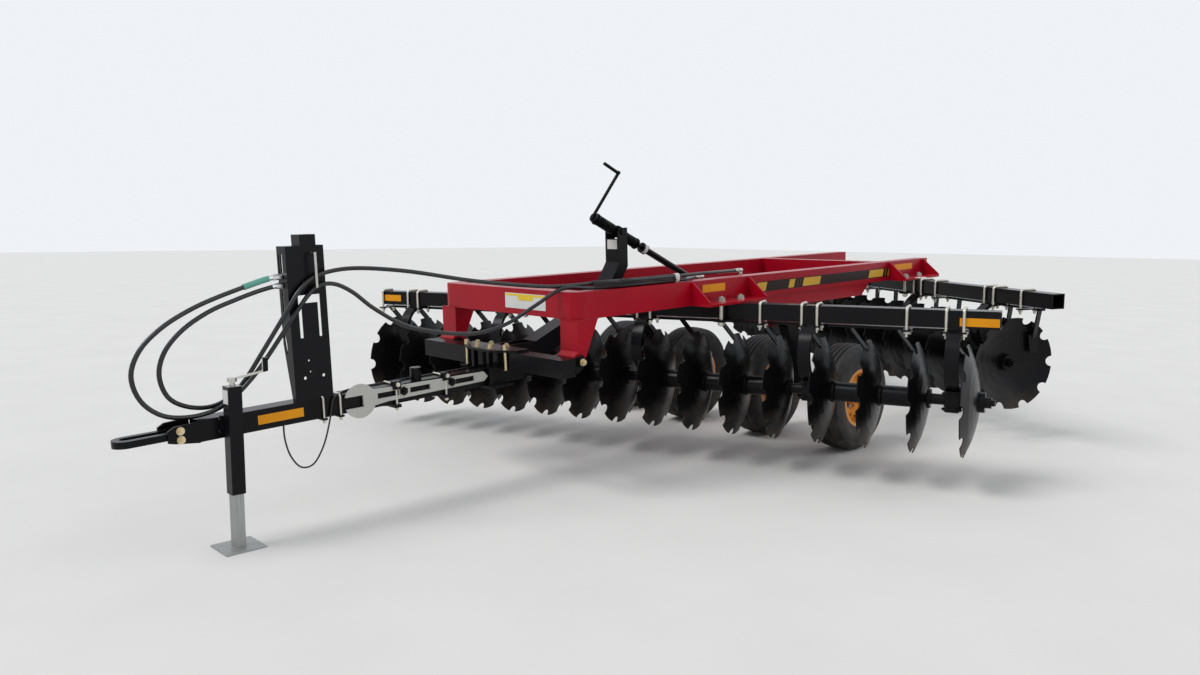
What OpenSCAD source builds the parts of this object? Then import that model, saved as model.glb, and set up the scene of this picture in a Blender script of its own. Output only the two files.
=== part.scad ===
/* [Frame] */
// width over the two rails
frame_w = 1280; // [1200:20:1400]
// length of the left rail
rail_l = 4150; // [4100:50:4300]
// extra length of the right rail, which reaches back to the angled rear beam
rail_extra = 670; // [665:5:700]
// height of a rail
rail_h = 152; // [140:4:160]
// width of a rail
rail_w = 102; // [90:4:110]
// wall of rails and beams
wall = 8; // [6:1:10]
// height of the rails' underside above the ground at the front
rail_z = 1004; // [990:2:1020]
// rise of the frame towards the rear, in degrees
pitch = 1.74; // [1.5:0.1:2]
// radius of the front corners
corner_r = 70; // [50:5:90]
// centre of the rear cross member behind the front corner
rear_cross_y = 3440; // [3300:20:3500]
// centre of the middle cross tube
mid_cross_y = 1700; // [1660:10:1740]
// side of the middle cross tube
mid_cross_side = 76; // [70:2:80]

/* [Gang beams] */
// side of the gang beams and of the tongue
tube = 102; // [90:2:110]
// angle of the front gang, in degrees
front_angle = 18; // [17:0.5:18.5]
// angle of the rear gang, in degrees
rear_angle = 28; // [27:0.5:28]
// front beam crosses the centreline here
front_gang_y = 1076; // [1060:2:1090]
// rear beam crosses the centreline here
rear_gang_y = 4139; // [4120:2:4150]
// height of the gang axes below the rails' underside
gang_drop = 532; // [524:1:540]
// length of a shelf that holds a gang beam
pocket_l = 600; // [560:10:600]
// reach of the shelves outside the rails
pocket_out = 150; // [140:5:160]
// length of the beams beyond the last disc
beam_over = 170; // [150:5:190]

/* [Discs] */
// disc diameter
disc_d = 660; // [640:10:670]
// disc plate thickness
disc_t = 6; // [5:0.5:7]
// depth of a disc's bowl
disc_dish = 74; // [66:2:80]
// distance between discs
disc_pitch = 279.4; // [276:0.1:280]
// discs on the front gang
front_discs_n = 16; // [16:1:16]
// discs on the rear gang
rear_discs_n = 16; // [16:1:16]
// notches around a disc
notch_n = 10; // [10:1:10]
// radius of a notch
notch_r = 38; // [30:1:42]
// spool barrel diameter
spool_d = 120; // [100:2:124]
// spool flange diameter
spool_flange_d = 136; // [128:2:140]
// gang bolt diameter
gang_bolt_d = 38; // [34:1:40]

/* [Hangers and scrapers] */
// width of a spring hanger's bar
hanger_w = 76; // [70:2:80]
// thickness of a spring hanger's bar
hanger_t = 25; // [20:1:28]
// clear space round a turning shaft or pin
shaft_fit = 0.8; // [0.5:0.1:1.5]
// width of a scraper arm
scraper_w = 40; // [34:2:46]

/* [Wheels] */
// tyre diameter
tyre_d = 736; // [720:4:760]
// tyre width
tyre_w = 236; // [220:4:250]
// rim diameter
rim_d = 381; // [370:1:390]
// outer wheels' distance from the centreline
wheel_x_out = 1048; // [1030:2:1060]
// inner wheels' distance from the centreline
wheel_x_in = 364; // [360:2:376]
// wheel axle line behind the front corner
wheel_y = 2180; // [2170:5:2200]

/* [Hitch] */
// height of the hitch pins on the level frame
hitch_pin_z = 775.6; // [770:0.2:782]
// diameter of the hitch pins
pin_d = 40; // [36:1:42]
// wall of the tongue
tongue_wall = 12; // [8:1:14]
// tongue slope, nose down, in degrees
tongue_tilt = 2.5; // [2:0.1:3]
// tongue length
tongue_l = 1940; // [1900:10:1960]
// diameter of the hitch loop's bar
loop_d = 32; // [28:1:36]
// inner width of the hitch loop
loop_gap = 52; // [48:1:56]

/* [Jack] */
// side of the jack's outer tube
jack_tube = 64; // [60:1:70]
// side of the jack's inner leg
jack_leg_side = 50; // [46:1:52]
// jack behind the tongue's front end
jack_back = 140; // [130:5:160]
// top of the jack's outer tube
jack_top = 772; // [766:2:780]
// side of the jack's foot
jack_foot = 190; // [180:5:200]

/* [Hoses] */
// hydraulic hose diameter
hose_d = 22; // [18:1:24]
// light cable diameter
cable_d = 9; // [8:1:12]

/* [Hidden] */

red = [0.62, 0.06, 0.10];
black = [0.05, 0.05, 0.06];
steel = [0.55, 0.55, 0.56];
rubber = [0.07, 0.07, 0.07];
yellow = [0.90, 0.55, 0.08];

half_w = frame_w / 2;
rail_top = rail_z + rail_h;
axis_z = rail_z - gang_drop;
beam_z = rail_z - tube / 2;
disc_r = disc_d / 2;
bowl_r = (disc_r * disc_r + disc_dish * disc_dish) / (2 * disc_dish);
right_l = rail_l + rail_extra;
doubler_w = 76;
doubler_y0 = 1600;
doubler_y1 = 3190;
mid_cross_z = rail_z - 8;
front_x1 = 2121 / cos(front_angle);
rear_x1 = 1704 / cos(rear_angle);
spool_l = disc_pitch - disc_t;

// hanger places: which gap between discs, from the left end
FRONT_HANGERS = [0.5, 3.5, 7.5, 11.5, 14.5];
REAR_HANGERS = [0.5, 3.5, 7.5, 11.5, 14.5];

// the origin lies on the ground under the middle of the whole machine
origin_x = 30.15;
origin_y = 1642.35;

// the rockshaft and wheel axle, as they stand with the frame pitched
shaft_y = 1900;
shaft_z = 917;
shaft_d = 102;
axle_z = tyre_d / 2;
arm_x = 706;
arm_dy = wheel_y - shaft_y;
arm_dz = shaft_z - axle_z;
arm_l = sqrt(arm_dy * arm_dy + arm_dz * arm_dz);
arm_a = atan2(-arm_dz, arm_dy);

// the hitch pin on the pitched frame; the hitch is drawn from a point behind its pins
pin_y0 = -2;
pin_back = 32;
lug_r = 34;
ear_gap = 5;
pin_y = pin_y0 * cos(pitch) - (hitch_pin_z - 1000) * sin(pitch);
pin_z = 1000 + pin_y0 * sin(pitch) + (hitch_pin_z - 1000) * cos(pitch);
leg_w = 140;
leg_in = half_w - leg_w;
beam_half = half_w + ear_gap;
beam_y1 = -pin_back - lug_r - 7;
beam_y0 = beam_y1 - tube;
tongue_front = 60 - tongue_l;
jack_y = pin_y + (tongue_front + jack_back + pin_back) * cos(tongue_tilt) + 127 * sin(tongue_tilt);

// the levelling screw, from its lug on the frame to the trunnion on the mast
lug_y0 = 1740;
lug_z0 = 1100;
lug_y = lug_y0 * cos(pitch) - (lug_z0 - 1000) * sin(pitch);
lug_z = 1000 + lug_y0 * sin(pitch) + (lug_z0 - 1000) * cos(pitch);
trunnion_y = 942;
trunnion_z = 1491;
screw_l = sqrt((lug_y - trunnion_y) * (lug_y - trunnion_y) + (trunnion_z - lug_z) * (trunnion_z - lug_z));
screw_a = atan2(trunnion_z - lug_z, lug_y - trunnion_y);

// the lift cylinder
cyl_x = half_w - rail_w - 68;
cyl_base_y = 1200;
cyl_base_z = 1105;
cyl_eye_y = 1925;
cyl_eye_z = 1110;
cyl_l = sqrt((cyl_eye_y - cyl_base_y) * (cyl_eye_y - cyl_base_y) + (cyl_eye_z - cyl_base_z) * (cyl_eye_z - cyl_base_z));
cyl_a = atan2(cyl_eye_z - cyl_base_z, cyl_eye_y - cyl_base_y);
cyl_rod_d = 50;
lever_in = cyl_rod_d / 2 + 5;

// hose routes: left to right, front to back, height
LONG_PATH = [[0, -1386, 1261.4], [0, -1426, 1259.7], [0, -1500, 1243], [0, -1710, 1174],
    [2, -1840, 1120], [5, -1960, 1050], [10, -2055, 960], [15, -2098, 850], [15, -2065, 735], [12, -1975, 656],
    [6, -1855, 632], [10, -1740, 650], [20, -1650, 705], [34, -1570, 785], [52, -1500, 880], 
    [71, -1350, 1095], [73, -1290, 1172], [76, -1230, 1218], [92, -1155, 1222], [115, -1070, 1178],
    [150, -960, 1085], [200, -780, 985], [280, -480, 936], [352, -290, 977], [430, -130, 1082], [505, 0, 1172],
    [575, 160, 1174], [598, 420, 1181.2], [596, 900, 1195.8], [586, 975, 1198.5],
    [534, 1078, 1202], [476, 1190, 1200], [470, 1222, 1199], [470, 1244.7, 1199]];
SHORT_PATH = [[0, -1384.1, 1218.4], [0, -1424.1, 1216.7], [0, -1510, 1196], [0, -1620, 1160], [2, -1745, 1112],
    [4, -1865, 1038], [8, -1950, 945], [10, -1980, 840], [6, -1945, 735], [-6, -1855, 678], [-16, -1745, 664],
    [-10, -1655, 702], [10, -1590, 780], [44, -1530, 890], [70, -1400, 1100],
    [72, -1340, 1190], [76, -1270, 1252], [88, -1170, 1288], [130, -1030, 1300], [220, -800, 1280],
    [330, -480, 1226], [440, -120, 1188], [505, 60, 1188], [562, 220, 1201], [594, 420, 1207.5],
    [597, 950, 1224], [590, 1100, 1229], [570, 1250, 1231],
    [513, 1490, 1232], [489, 1585, 1232], [476.3, 1657.2, 1232]];
CABLE_PATH = [[-35, -135.3, 698.2], [-42, -750, 671.3], [-34, -980, 661.3], [-4, -1075, 657.1],
    [26, -1108, 655.7], [48, -1130, 656], [60, -1150, 654], [62, -1172, 625], [63, -1190, 530],
    [62, -1225, 410], [58, -1280, 320], [51, -1345, 312], [45, -1395, 375], [41, -1420, 460], [40, -1425, 534.7]];

module placed() {
    translate([-origin_x, -origin_y, 0])
        children();
}

// the frame's slope, applied to everything that the frame carries
module pitched() {
    translate([0, 0, 1000])
        rotate([pitch, 0, 0])
            translate([0, 0, -1000])
                children();
}

module front_gang_place() {
    pitched()
        translate([0, front_gang_y, 0])
            rotate([0, 0, front_angle])
                children();
}

module rear_gang_place() {
    pitched()
        translate([0, rear_gang_y, 0])
            rotate([0, 0, -rear_angle])
                children();
}

// the hitch swings about its pins: x left, y back, z up
module hitch_place() {
    translate([0, pin_y, pin_z])
        rotate([tongue_tilt, 0, 0])
            translate([0, pin_back, 0])
                children();
}

// along the levelling screw: z runs from the lug up to the trunnion
module screw_place() {
    translate([0, lug_y, lug_z])
        rotate([90 - screw_a, 0, 0])
            children();
}

// along the lift cylinder: z runs from its base pin to its rod's eye
module cylinder_place() {
    translate([cyl_x, cyl_base_y, cyl_base_z])
        rotate([cyl_a - 90, 0, 0])
            children();
}

module x_rod(d, l) {
    rotate([0, 90, 0])
        cylinder(d = d, h = l, center = true);
}

// box with x from x0 to x1 and so on
module block(x0, x1, y0, y1, z0, z1) {
    translate([x0, y0, z0])
        cube([x1 - x0, y1 - y0, z1 - z0]);
}

// plate standing across the machine: outline in y and z, from x0 to x1
module x_plate(pts, x0, x1) {
    translate([x0, 0, 0])
        rotate([90, 0, 90])
            linear_extrude(height = x1 - x0)
                polygon(pts);
}

module rail(l) {
    difference() {
        block(-rail_w / 2, rail_w / 2, corner_r, l, rail_z, rail_top);
        block(-rail_w / 2 + wall, rail_w / 2 - wall, corner_r - 1, l - 12, rail_z + wall, rail_top - wall);
    }
}

module left_rail() {
    color(red)
        union() {
            pitched()
                translate([half_w - rail_w / 2, 0, 0])
                    rail(rail_l);
            cylinder_lug();
        }
}

module right_rail() {
    color(red)
        pitched()
            translate([-half_w + rail_w / 2, 0, 0])
                rail(right_l);
}

// front cross member with rounded outer corners, as wide as the frame
module front_cross() {
    color(red)
        pitched()
            translate([0, 0, rail_z])
                difference() {
                    linear_extrude(height = rail_h)
                        union() {
                            translate([-half_w + rail_w, 0])
                                square([frame_w - 2 * rail_w, rail_w]);
                            translate([-half_w + corner_r, 0])
                                square([frame_w - 2 * corner_r, corner_r]);
                            for (s = [-1, 1])
                                intersection() {
                                    translate([s * (half_w - corner_r), corner_r])
                                        circle(r = corner_r);
                                    translate([s * half_w - 100, 0])
                                        square([200, corner_r]);
                                }
                        }
                    translate([-half_w + rail_w, wall, wall])
                        cube([frame_w - 2 * rail_w, rail_w, rail_h - 2 * wall]);
                }
}

module rear_cross() {
    color(red)
        pitched()
            difference() {
                block(-half_w + rail_w, half_w - rail_w, rear_cross_y - rail_w / 2, rear_cross_y + rail_w / 2,
                    rail_z, rail_top);
                block(-half_w, half_w, rear_cross_y - rail_w / 2 + wall, rear_cross_y + rail_w / 2 - wall,
                    rail_z + wall, rail_top - wall);
            }
}

// cross tube with the lug of the levelling screw
module mid_cross() {
    color(red)
        pitched()
            union() {
                block(-half_w + rail_w / 2 + doubler_w / 2, half_w - rail_w / 2 - doubler_w / 2,
                    mid_cross_y - mid_cross_side / 2, mid_cross_y + mid_cross_side / 2, mid_cross_z - mid_cross_side, mid_cross_z);
                for (s = [-1, 1])
                    x_plate([[mid_cross_y - 38, mid_cross_z], [mid_cross_y + 38, mid_cross_z],
                        [lug_y0 + 26, lug_z0 + 24], [lug_y0 - 26, lug_z0 + 24]], s * 32 - 6, s * 32 + 6);
                translate([0, lug_y0, lug_z0])
                    x_rod(20, 92);
            }
}

module hitch_legs() {
    color(red)
        pitched()
            for (s = [-1, 1])
                difference() {
                    x_plate([[-10, rail_z], [-10, hitch_pin_z + 54], [pin_y0 - lug_r, hitch_pin_z + 30],
                        [pin_y0 - lug_r, hitch_pin_z - 24], [pin_y0 - 22, hitch_pin_z - 38],
                        [pin_y0 + 24, hitch_pin_z - 38], [pin_y0 + 38, hitch_pin_z - 20], [150, rail_z]],
                        s * (half_w - leg_w / 2) - leg_w / 2, s * (half_w - leg_w / 2) + leg_w / 2);
                    translate([s * (half_w - leg_w / 2), pin_y0, hitch_pin_z])
                        x_rod(pin_d + 2 * shaft_fit, leg_w + 2);
                    x_plate([[2, rail_z - 10], [2, hitch_pin_z + 62], [60, hitch_pin_z + 62], [132, rail_z - 10]],
                        s * (half_w - leg_w / 2) - leg_w / 2 + 12, s * (half_w - leg_w / 2) + leg_w / 2 - 12);
                }
}

// beams under the rails that carry the rockshaft, with its bearings
module rail_doublers() {
    color(red)
        for (s = [-1, 1])
            difference() {
                union() {
                    pitched()
                        x_plate([[doubler_y0, rail_z], [doubler_y0, rail_z - 92], [doubler_y1 - 120, rail_z - 92],
                            [doubler_y1, rail_z]], s * (half_w - rail_w / 2) - doubler_w / 2,
                            s * (half_w - rail_w / 2) + doubler_w / 2);
                    block(s * (half_w - rail_w / 2) - 30, s * (half_w - rail_w / 2) + 30, shaft_y - 85, shaft_y + 85,
                        shaft_z - 74, shaft_z + 70);
                }
                translate([s * (half_w - rail_w / 2), shaft_y, shaft_z])
                    x_rod(shaft_d + 2 * shaft_fit, 200);
            }
}

// shelf under each rail's outer face between two triangular gussets, over the beam
module pocket(s) {
    block(s > 0 ? half_w : -half_w - pocket_out, s > 0 ? half_w + pocket_out : -half_w,
        -pocket_l / 2, pocket_l / 2, rail_z, rail_z + 14);
    for (y = [-pocket_l / 2, pocket_l / 2 - 12])
        translate([0, y + 12, rail_z])
            rotate([90, 0, 0])
                linear_extrude(height = 12)
                    polygon([[s * half_w, 0], [s * (half_w + pocket_out), 0], [s * (half_w + pocket_out), 26],
                        [s * (half_w + 14), rail_h - 8], [s * half_w, rail_h - 8]]);
}

module gang_pockets() {
    color(red)
        pitched()
            for (s = [-1, 1]) {
                translate([0, front_gang_y + s * (half_w - 60) * tan(front_angle), 0])
                    pocket(s);
                translate([0, rear_gang_y - s * (half_w + 50) * tan(rear_angle), 0])
                    pocket(s);
            }
}

// square beam from x0 to x1 along the gang
module gang_beam(x0, x1) {
    difference() {
        block(x0, x1, -tube / 2, tube / 2, beam_z - tube / 2, beam_z + tube / 2);
        block(x0 - 1, x1 + 1, -tube / 2 + wall, tube / 2 - wall, beam_z - tube / 2 + wall, beam_z + tube / 2 - wall);
    }
}

front_beam_x1 = 2215 / cos(front_angle);
front_beam_x0 = front_x1 - (front_discs_n - 1) * disc_pitch - beam_over;
rear_beam_x1 = 2104 / cos(rear_angle);
rear_beam_x0 = rear_x1 - (rear_discs_n - 1) * disc_pitch - beam_over;

module front_beam() {
    color(black)
        front_gang_place()
            gang_beam(front_beam_x0, front_beam_x1);
}

module rear_beam() {
    color(black)
        rear_gang_place()
            gang_beam(rear_beam_x0, rear_beam_x1);
}

hanger_z = (rail_z - tube + axis_z + 58) / 2;
hanger_r = (rail_z - tube - axis_z - 58) / 2;

// spring hanger open to the rear, with its bearing block round the shaft
module hanger(x) {
    translate([x, 0, 0])
        union() {
            difference() {
                translate([0, 0, hanger_z])
                    x_rod(2 * hanger_r, hanger_w);
                translate([0, 0, hanger_z])
                    x_rod(2 * hanger_r - 2 * hanger_t, hanger_w + 2);
                block(-100, 100, 50, 260, 300, 1000);
            }
            block(-hanger_w / 2, hanger_w / 2, -55, 95, rail_z - tube - 20, rail_z - tube);
            difference() {
                block(-38, 38, -66, 66, axis_z - 62, axis_z + 62);
                translate([0, 0, axis_z])
                    x_rod(2 * journal_r + 2 * shaft_fit, 80);
            }
        }
}

module front_hangers() {
    color(black)
        front_gang_place()
            for (g = FRONT_HANGERS)
                hanger(front_x1 - g * disc_pitch);
}

module rear_hangers() {
    color(black)
        rear_gang_place()
            for (g = REAR_HANGERS)
                hanger(rear_x1 - g * disc_pitch);
}

// scraper for one disc: arm down from the bar, wear tip by the bowl; s is the side the bowl opens to
scraper_reach = 205;
scraper_drop = rail_z - tube - 38 - axis_z - 190;
scraper_in = 120;
scraper_back = 84;
module scraper(s) {
    translate([s * scraper_reach, 62 + scraper_w / 2, rail_z - tube - 30])
        rotate([atan2(scraper_back, scraper_drop), 0, 0])
            rotate([0, s * atan2(scraper_in, scraper_drop), 0])
                block(-5, 5, -scraper_w / 2, scraper_w / 2,
                    -sqrt(scraper_drop * scraper_drop + scraper_in * scraper_in + scraper_back * scraper_back) - 34, 0);
    translate([s * 66, 0, axis_z + 196])
        rotate([0, s * 7, 0])
            x_plate([[118, 6], [205, 6], [217, -116], [152, -136]], -5, 5);
}

// the bar runs along the gang from xa to xb and carries an arm for each disc
module scrapers(n, x1, s, xa, xb) {
    block(xa, xb, 62, 62 + scraper_w, rail_z - tube - 38, rail_z - tube - 20);
    for (i = [0 : n - 1])
        translate([x1 - i * disc_pitch, 0, 0])
            scraper(s);
}

module front_scrapers() {
    color(black)
        front_gang_place()
            scrapers(front_discs_n, front_x1, -1,
                front_x1 - (front_discs_n - 1) * disc_pitch - scraper_reach - 30, front_x1 - scraper_reach + 40);
}

module rear_scrapers() {
    color(black)
        rear_gang_place()
            scrapers(rear_discs_n, rear_x1, 1,
                rear_x1 - (rear_discs_n - 1) * disc_pitch + scraper_reach - 40, rear_x1 + scraper_reach + 30);
}

// outline of half a disc: how far the bowl has risen at radius r
function rise(r) = bowl_r - sqrt(bowl_r * bowl_r - r * r);
disc_flat = spool_flange_d / 2 + 4;
BOWL = [for (r = [gang_bolt_d / 2 + 0.5, disc_flat, 120, 180, 240, disc_r])
    [r, r <= disc_flat ? 0 : rise(r) - rise(disc_flat)]];

// notched bowl round the z axis, rising upwards to its rim
module disc() {
    difference() {
        rotate_extrude($fn = 60)
            polygon(concat(BOWL, [for (i = [len(BOWL) - 1 : -1 : 0]) [BOWL[i][0], BOWL[i][1] + disc_t]]));
        for (i = [0 : notch_n - 1])
            rotate([0, 0, i * 360 / notch_n + 18])
                translate([disc_r, 0, 20])
                    cylinder(r = notch_r, h = 120);
    }
}

module disc_row(n, x1, s) {
    for (i = [0 : n - 1])
        translate([x1 - i * disc_pitch, 0, axis_z])
            rotate([0, s * 90, 0])
                translate([0, 0, -disc_t / 2])
                    disc();
}

module front_discs() {
    color(steel)
        front_gang_place()
            disc_row(front_discs_n, front_x1, -1);
}

module rear_discs() {
    color(steel)
        rear_gang_place()
            disc_row(rear_discs_n, rear_x1, 1);
}

function has(list, v) = len([for (g = list) if (abs(g - v) < 0.1) 1]) > 0;

// half outline of the spools between the discs, slimmer where a bearing runs, as [along, radius]
seat = disc_t / 2 + 0.05;
bolt_r = gang_bolt_d / 2;
journal_r = 32;
function spool_profile(n, hangers) = [for (i = [0 : n - 2]) let (a = i * disc_pitch + seat, b = (i + 1) * disc_pitch - seat)
    each (has(hangers, i + 0.5)
        ? [[a, 58], [a + 14, 58], [a + 14, journal_r], [b - 14, journal_r], [b - 14, 58], [b, 58], [b, bolt_r],
            [b + 2 * seat, bolt_r]]
        : [[a, spool_flange_d / 2], [a + 14, spool_flange_d / 2], [a + 22, spool_d / 2], [b - 22, spool_d / 2],
            [b - 14, spool_flange_d / 2], [b, spool_flange_d / 2], [b, bolt_r], [b + 2 * seat, bolt_r]])];

// spools threaded on the gang bolt, hollow between their ends where no bearing runs
module spools(n, x1, hangers) {
    last = (n - 1) * disc_pitch + seat;
    translate([x1, 0, axis_z])
        rotate([0, -90, 0])
            rotate_extrude($fn = 48)
                difference() {
                    polygon(concat([[0, -86], [bolt_r, -86], [bolt_r, -68], [32, -68], [32, -34], [60, -34],
                        [60, -seat], [bolt_r, -seat], [bolt_r, seat]],
                        [for (p = spool_profile(n, hangers)) [p[1], p[0]]],
                        [[60, last], [60, last + 31], [32, last + 31], [32, last + 65], [bolt_r, last + 65],
                        [bolt_r, last + 83], [0, last + 83]]));
                    for (i = [0 : n - 2])
                        if (!has(hangers, i + 0.5))
                            translate([bolt_r, i * disc_pitch + seat + 18])
                                square([spool_d / 2 - 12 - bolt_r, disc_pitch - 2 * seat - 36]);
                }
}

module front_spools() {
    color(black)
        front_gang_place()
            spools(front_discs_n, front_x1, FRONT_HANGERS);
}

module rear_spools() {
    color(black)
        rear_gang_place()
            spools(rear_discs_n, rear_x1, REAR_HANGERS);
}

// shaft across the frame with the lift cylinder's lever
module rockshaft() {
    color(black)
        union() {
            translate([0, shaft_y, shaft_z])
                x_rod(shaft_d, 2 * (arm_x + 38));
            for (s = [-1, 1]) {
                x_plate([[shaft_y - 50, shaft_z], [shaft_y + 50, shaft_z], [cyl_eye_y + 32, cyl_eye_z + 20],
                    [cyl_eye_y + 18, cyl_eye_z + 34], [cyl_eye_y - 18, cyl_eye_z + 34],
                    [cyl_eye_y - 32, cyl_eye_z + 20]], cyl_x + s * (lever_in + 6) - 6, cyl_x + s * (lever_in + 6) + 6);
                translate([cyl_x + s * (lever_in + 16), cyl_eye_y, cyl_eye_z])
                    x_rod(32, 10);
            }
        }
}

// one arm a side down to an axle between its two wheels
module wheel_arms() {
    color(black)
        for (s = [-1, 1])
            difference() {
                union() {
                    translate([s * arm_x, shaft_y, shaft_z])
                        rotate([arm_a, 0, 0])
                            block(-38, 38, 56, arm_l + 52, -50, 50);
                    translate([s * arm_x, shaft_y, shaft_z])
                        x_rod(138, 76);
                    translate([s * (wheel_x_out + wheel_x_in) / 2, wheel_y, axle_z])
                        x_rod(56, wheel_x_out - wheel_x_in + 190);
                }
                translate([s * arm_x, shaft_y, shaft_z])
                    x_rod(shaft_d, 80);
            }
}

// tyre section, half of it mirrored, as [radius, across]
SECTION = [[rim_d / 2 - 6, 88], [rim_d / 2 + 30, 108], [rim_d / 2 + 80, tyre_w / 2], [rim_d / 2 + 118, tyre_w / 2 - 4],
    [tyre_d / 2 - 22, 100], [tyre_d / 2 - 6, 84], [tyre_d / 2, 60]];

module tyre(x) {
    color(rubber)
        translate([x, wheel_y, axle_z])
            rotate([0, 90, 0])
                rotate_extrude($fn = 72)
                    polygon(concat(SECTION, [for (i = [len(SECTION) - 1 : -1 : 0]) [SECTION[i][0], -SECTION[i][1]]]));
}

// rim with its dished centre and hub; s points to the wheel's open side
module rim(x, s) {
    r = rim_d / 2 - 6;
    color(yellow)
        translate([x, wheel_y, axle_z])
            rotate([0, s * 90, 0])
                difference() {
                    rotate_extrude($fn = 60)
                        polygon([[r, -88], [r + 14, -96], [r + 14, -100], [r - 6, -100], [r - 8, -84], [r - 22, -60],
                            [r - 22, 10], [92, 22], [92, 10], [56, 10], [56, -40], [29, -40], [29, 84], [38, 84],
                            [54, 66], [56, 24], [78, 24], [90, 36], [r - 20, 24], [r - 14, 60], [r - 8, 84],
                            [r - 6, 100], [r + 14, 100], [r + 14, 96], [r, 88]]);
                    for (i = [0 : 5])
                        rotate([0, 0, i * 60])
                            translate([(r + 62) / 2 + 4, 0, -10])
                                cylinder(r = 14, h = 60);
                }
}

module tongue() {
    color(black)
        hitch_place()
            union() {
                translate([0, -676, -78])
                    cylinder(d = 60, h = 70);
                difference() {
                    block(-tube / 2, tube / 2, tongue_front, 60, -76 - tube, -76);
                    block(-tube / 2 + tongue_wall, tube / 2 - tongue_wall, tongue_front - 1, 61,
                        -76 - tube + tongue_wall, -76 - tongue_wall);
                }
            }
}

loop_r = loop_gap / 2;
loop_y = tongue_front - 352 + loop_r + loop_d;

// bent bar loop and the clevis plates that hold it
module hitch_loop() {
    color(black)
        hitch_place()
            translate([0, 0, -127])
                union() {
                    difference() {
                        translate([0, loop_y, 0])
                            cylinder(r = loop_r + loop_d, h = loop_d, center = true);
                        translate([0, loop_y, 0])
                            cylinder(r = loop_r, h = loop_d + 2, center = true);
                        block(-100, 100, loop_y, loop_y + 100, -40, 40);
                    }
                    for (s = [-1, 1])
                        block(s * (loop_r + loop_d / 2) - loop_d / 2, s * (loop_r + loop_d / 2) + loop_d / 2, loop_y,
                            tongue_front, -loop_d / 2, loop_d / 2);
                    block(-loop_r, loop_r, tongue_front - 110, tongue_front, -loop_d / 2, loop_d / 2);
                    for (s = [-1, 1])
                        x_plate([[tongue_front, -50], [tongue_front - 110, -34], [tongue_front - 140, -26],
                            [tongue_front - 140, 26], [tongue_front - 110, 44], [tongue_front, 50]],
                            s * (loop_r + loop_d + 6) - 6, s * (loop_r + loop_d + 6) + 6);
                }
}

// crossbeam before the legs, its ears and pins, and the plates that clamp the tongue
module ear(x0, x1) {
    x_plate([[beam_y1, -64], [beam_y1 + 14, -62], [-pin_back + 18, -36], [-pin_back + 36, -14], [-pin_back + 36, 16],
        [-pin_back + 16, 38], [beam_y1, 26]], x0, x1);
}

module hitch_crossbeam() {
    color(black)
        hitch_place()
            union() {
                block(-beam_half - 12, beam_half + 12, beam_y0, beam_y1, -76, 26);
                for (s = [-1, 1]) {
                    ear(s * (beam_half + 6) - 6, s * (beam_half + 6) + 6);
                    ear(s * (leg_in - ear_gap - 6) - 6, s * (leg_in - ear_gap - 6) + 6);
                    translate([s * (half_w - leg_w / 2), -pin_back, 0])
                        x_rod(pin_d, leg_w + 2 * ear_gap + 50);
                    translate([s * (beam_half + 18), -pin_back, 0])
                        x_rod(60, 12);
                }
                translate([0, 0, 26])
                    linear_extrude(height = 14)
                        polygon([[-260, beam_y1], [260, beam_y1], [260, beam_y0 + 20], [110, -240], [-110, -240],
                            [-260, beam_y0 + 20]]);
                translate([0, 0, -192])
                    linear_extrude(height = 14)
                        polygon([[-110, beam_y1], [110, beam_y1], [110, -240], [-110, -240]]);
                for (s = [-1, 1])
                    block(s * 72 - 12, s * 72 + 12, -230, -200, -178, 26);
            }
}

// trunnion seen from the hitch's own place
mast_head_y = (trunnion_y - pin_y) * cos(tongue_tilt) + (trunnion_z - pin_z) * sin(tongue_tilt) - pin_back;
mast_head_z = (trunnion_z - pin_z) * cos(tongue_tilt) - (trunnion_y - pin_y) * sin(tongue_tilt);

// channel rising from the crossbeam over the frame, with two cheeks that carry the trunnion
module mast() {
    color(black)
        hitch_place()
            union() {
                for (s = [-1, 1]) {
                    x_plate([[beam_y1, -60], [beam_y1, 40], [150, 40], [mast_head_y - 180, mast_head_z - 400],
                        [mast_head_y - 40, mast_head_z - 200], [mast_head_y - 40, mast_head_z + 26],
                        [mast_head_y + 40, mast_head_z + 26], [mast_head_y + 40, mast_head_z - 230],
                        [mast_head_y - 120, mast_head_z - 460], [240, -60]], s * 58 - 6, s * 58 + 6);
                    translate([s * 68, mast_head_y, mast_head_z])
                        x_rod(44, 12);
                }
                x_plate([[150, 32], [150, 40], [mast_head_y - 180, mast_head_z - 400],
                    [mast_head_y - 40, mast_head_z - 200], [mast_head_y - 40, mast_head_z - 45],
                    [mast_head_y - 32, mast_head_z - 45], [mast_head_y - 32, mast_head_z - 203],
                    [mast_head_y - 174, mast_head_z - 406]], -54, 54);
                block(-54, 54, beam_y1, 140, -20, 20);
            }
}

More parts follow.
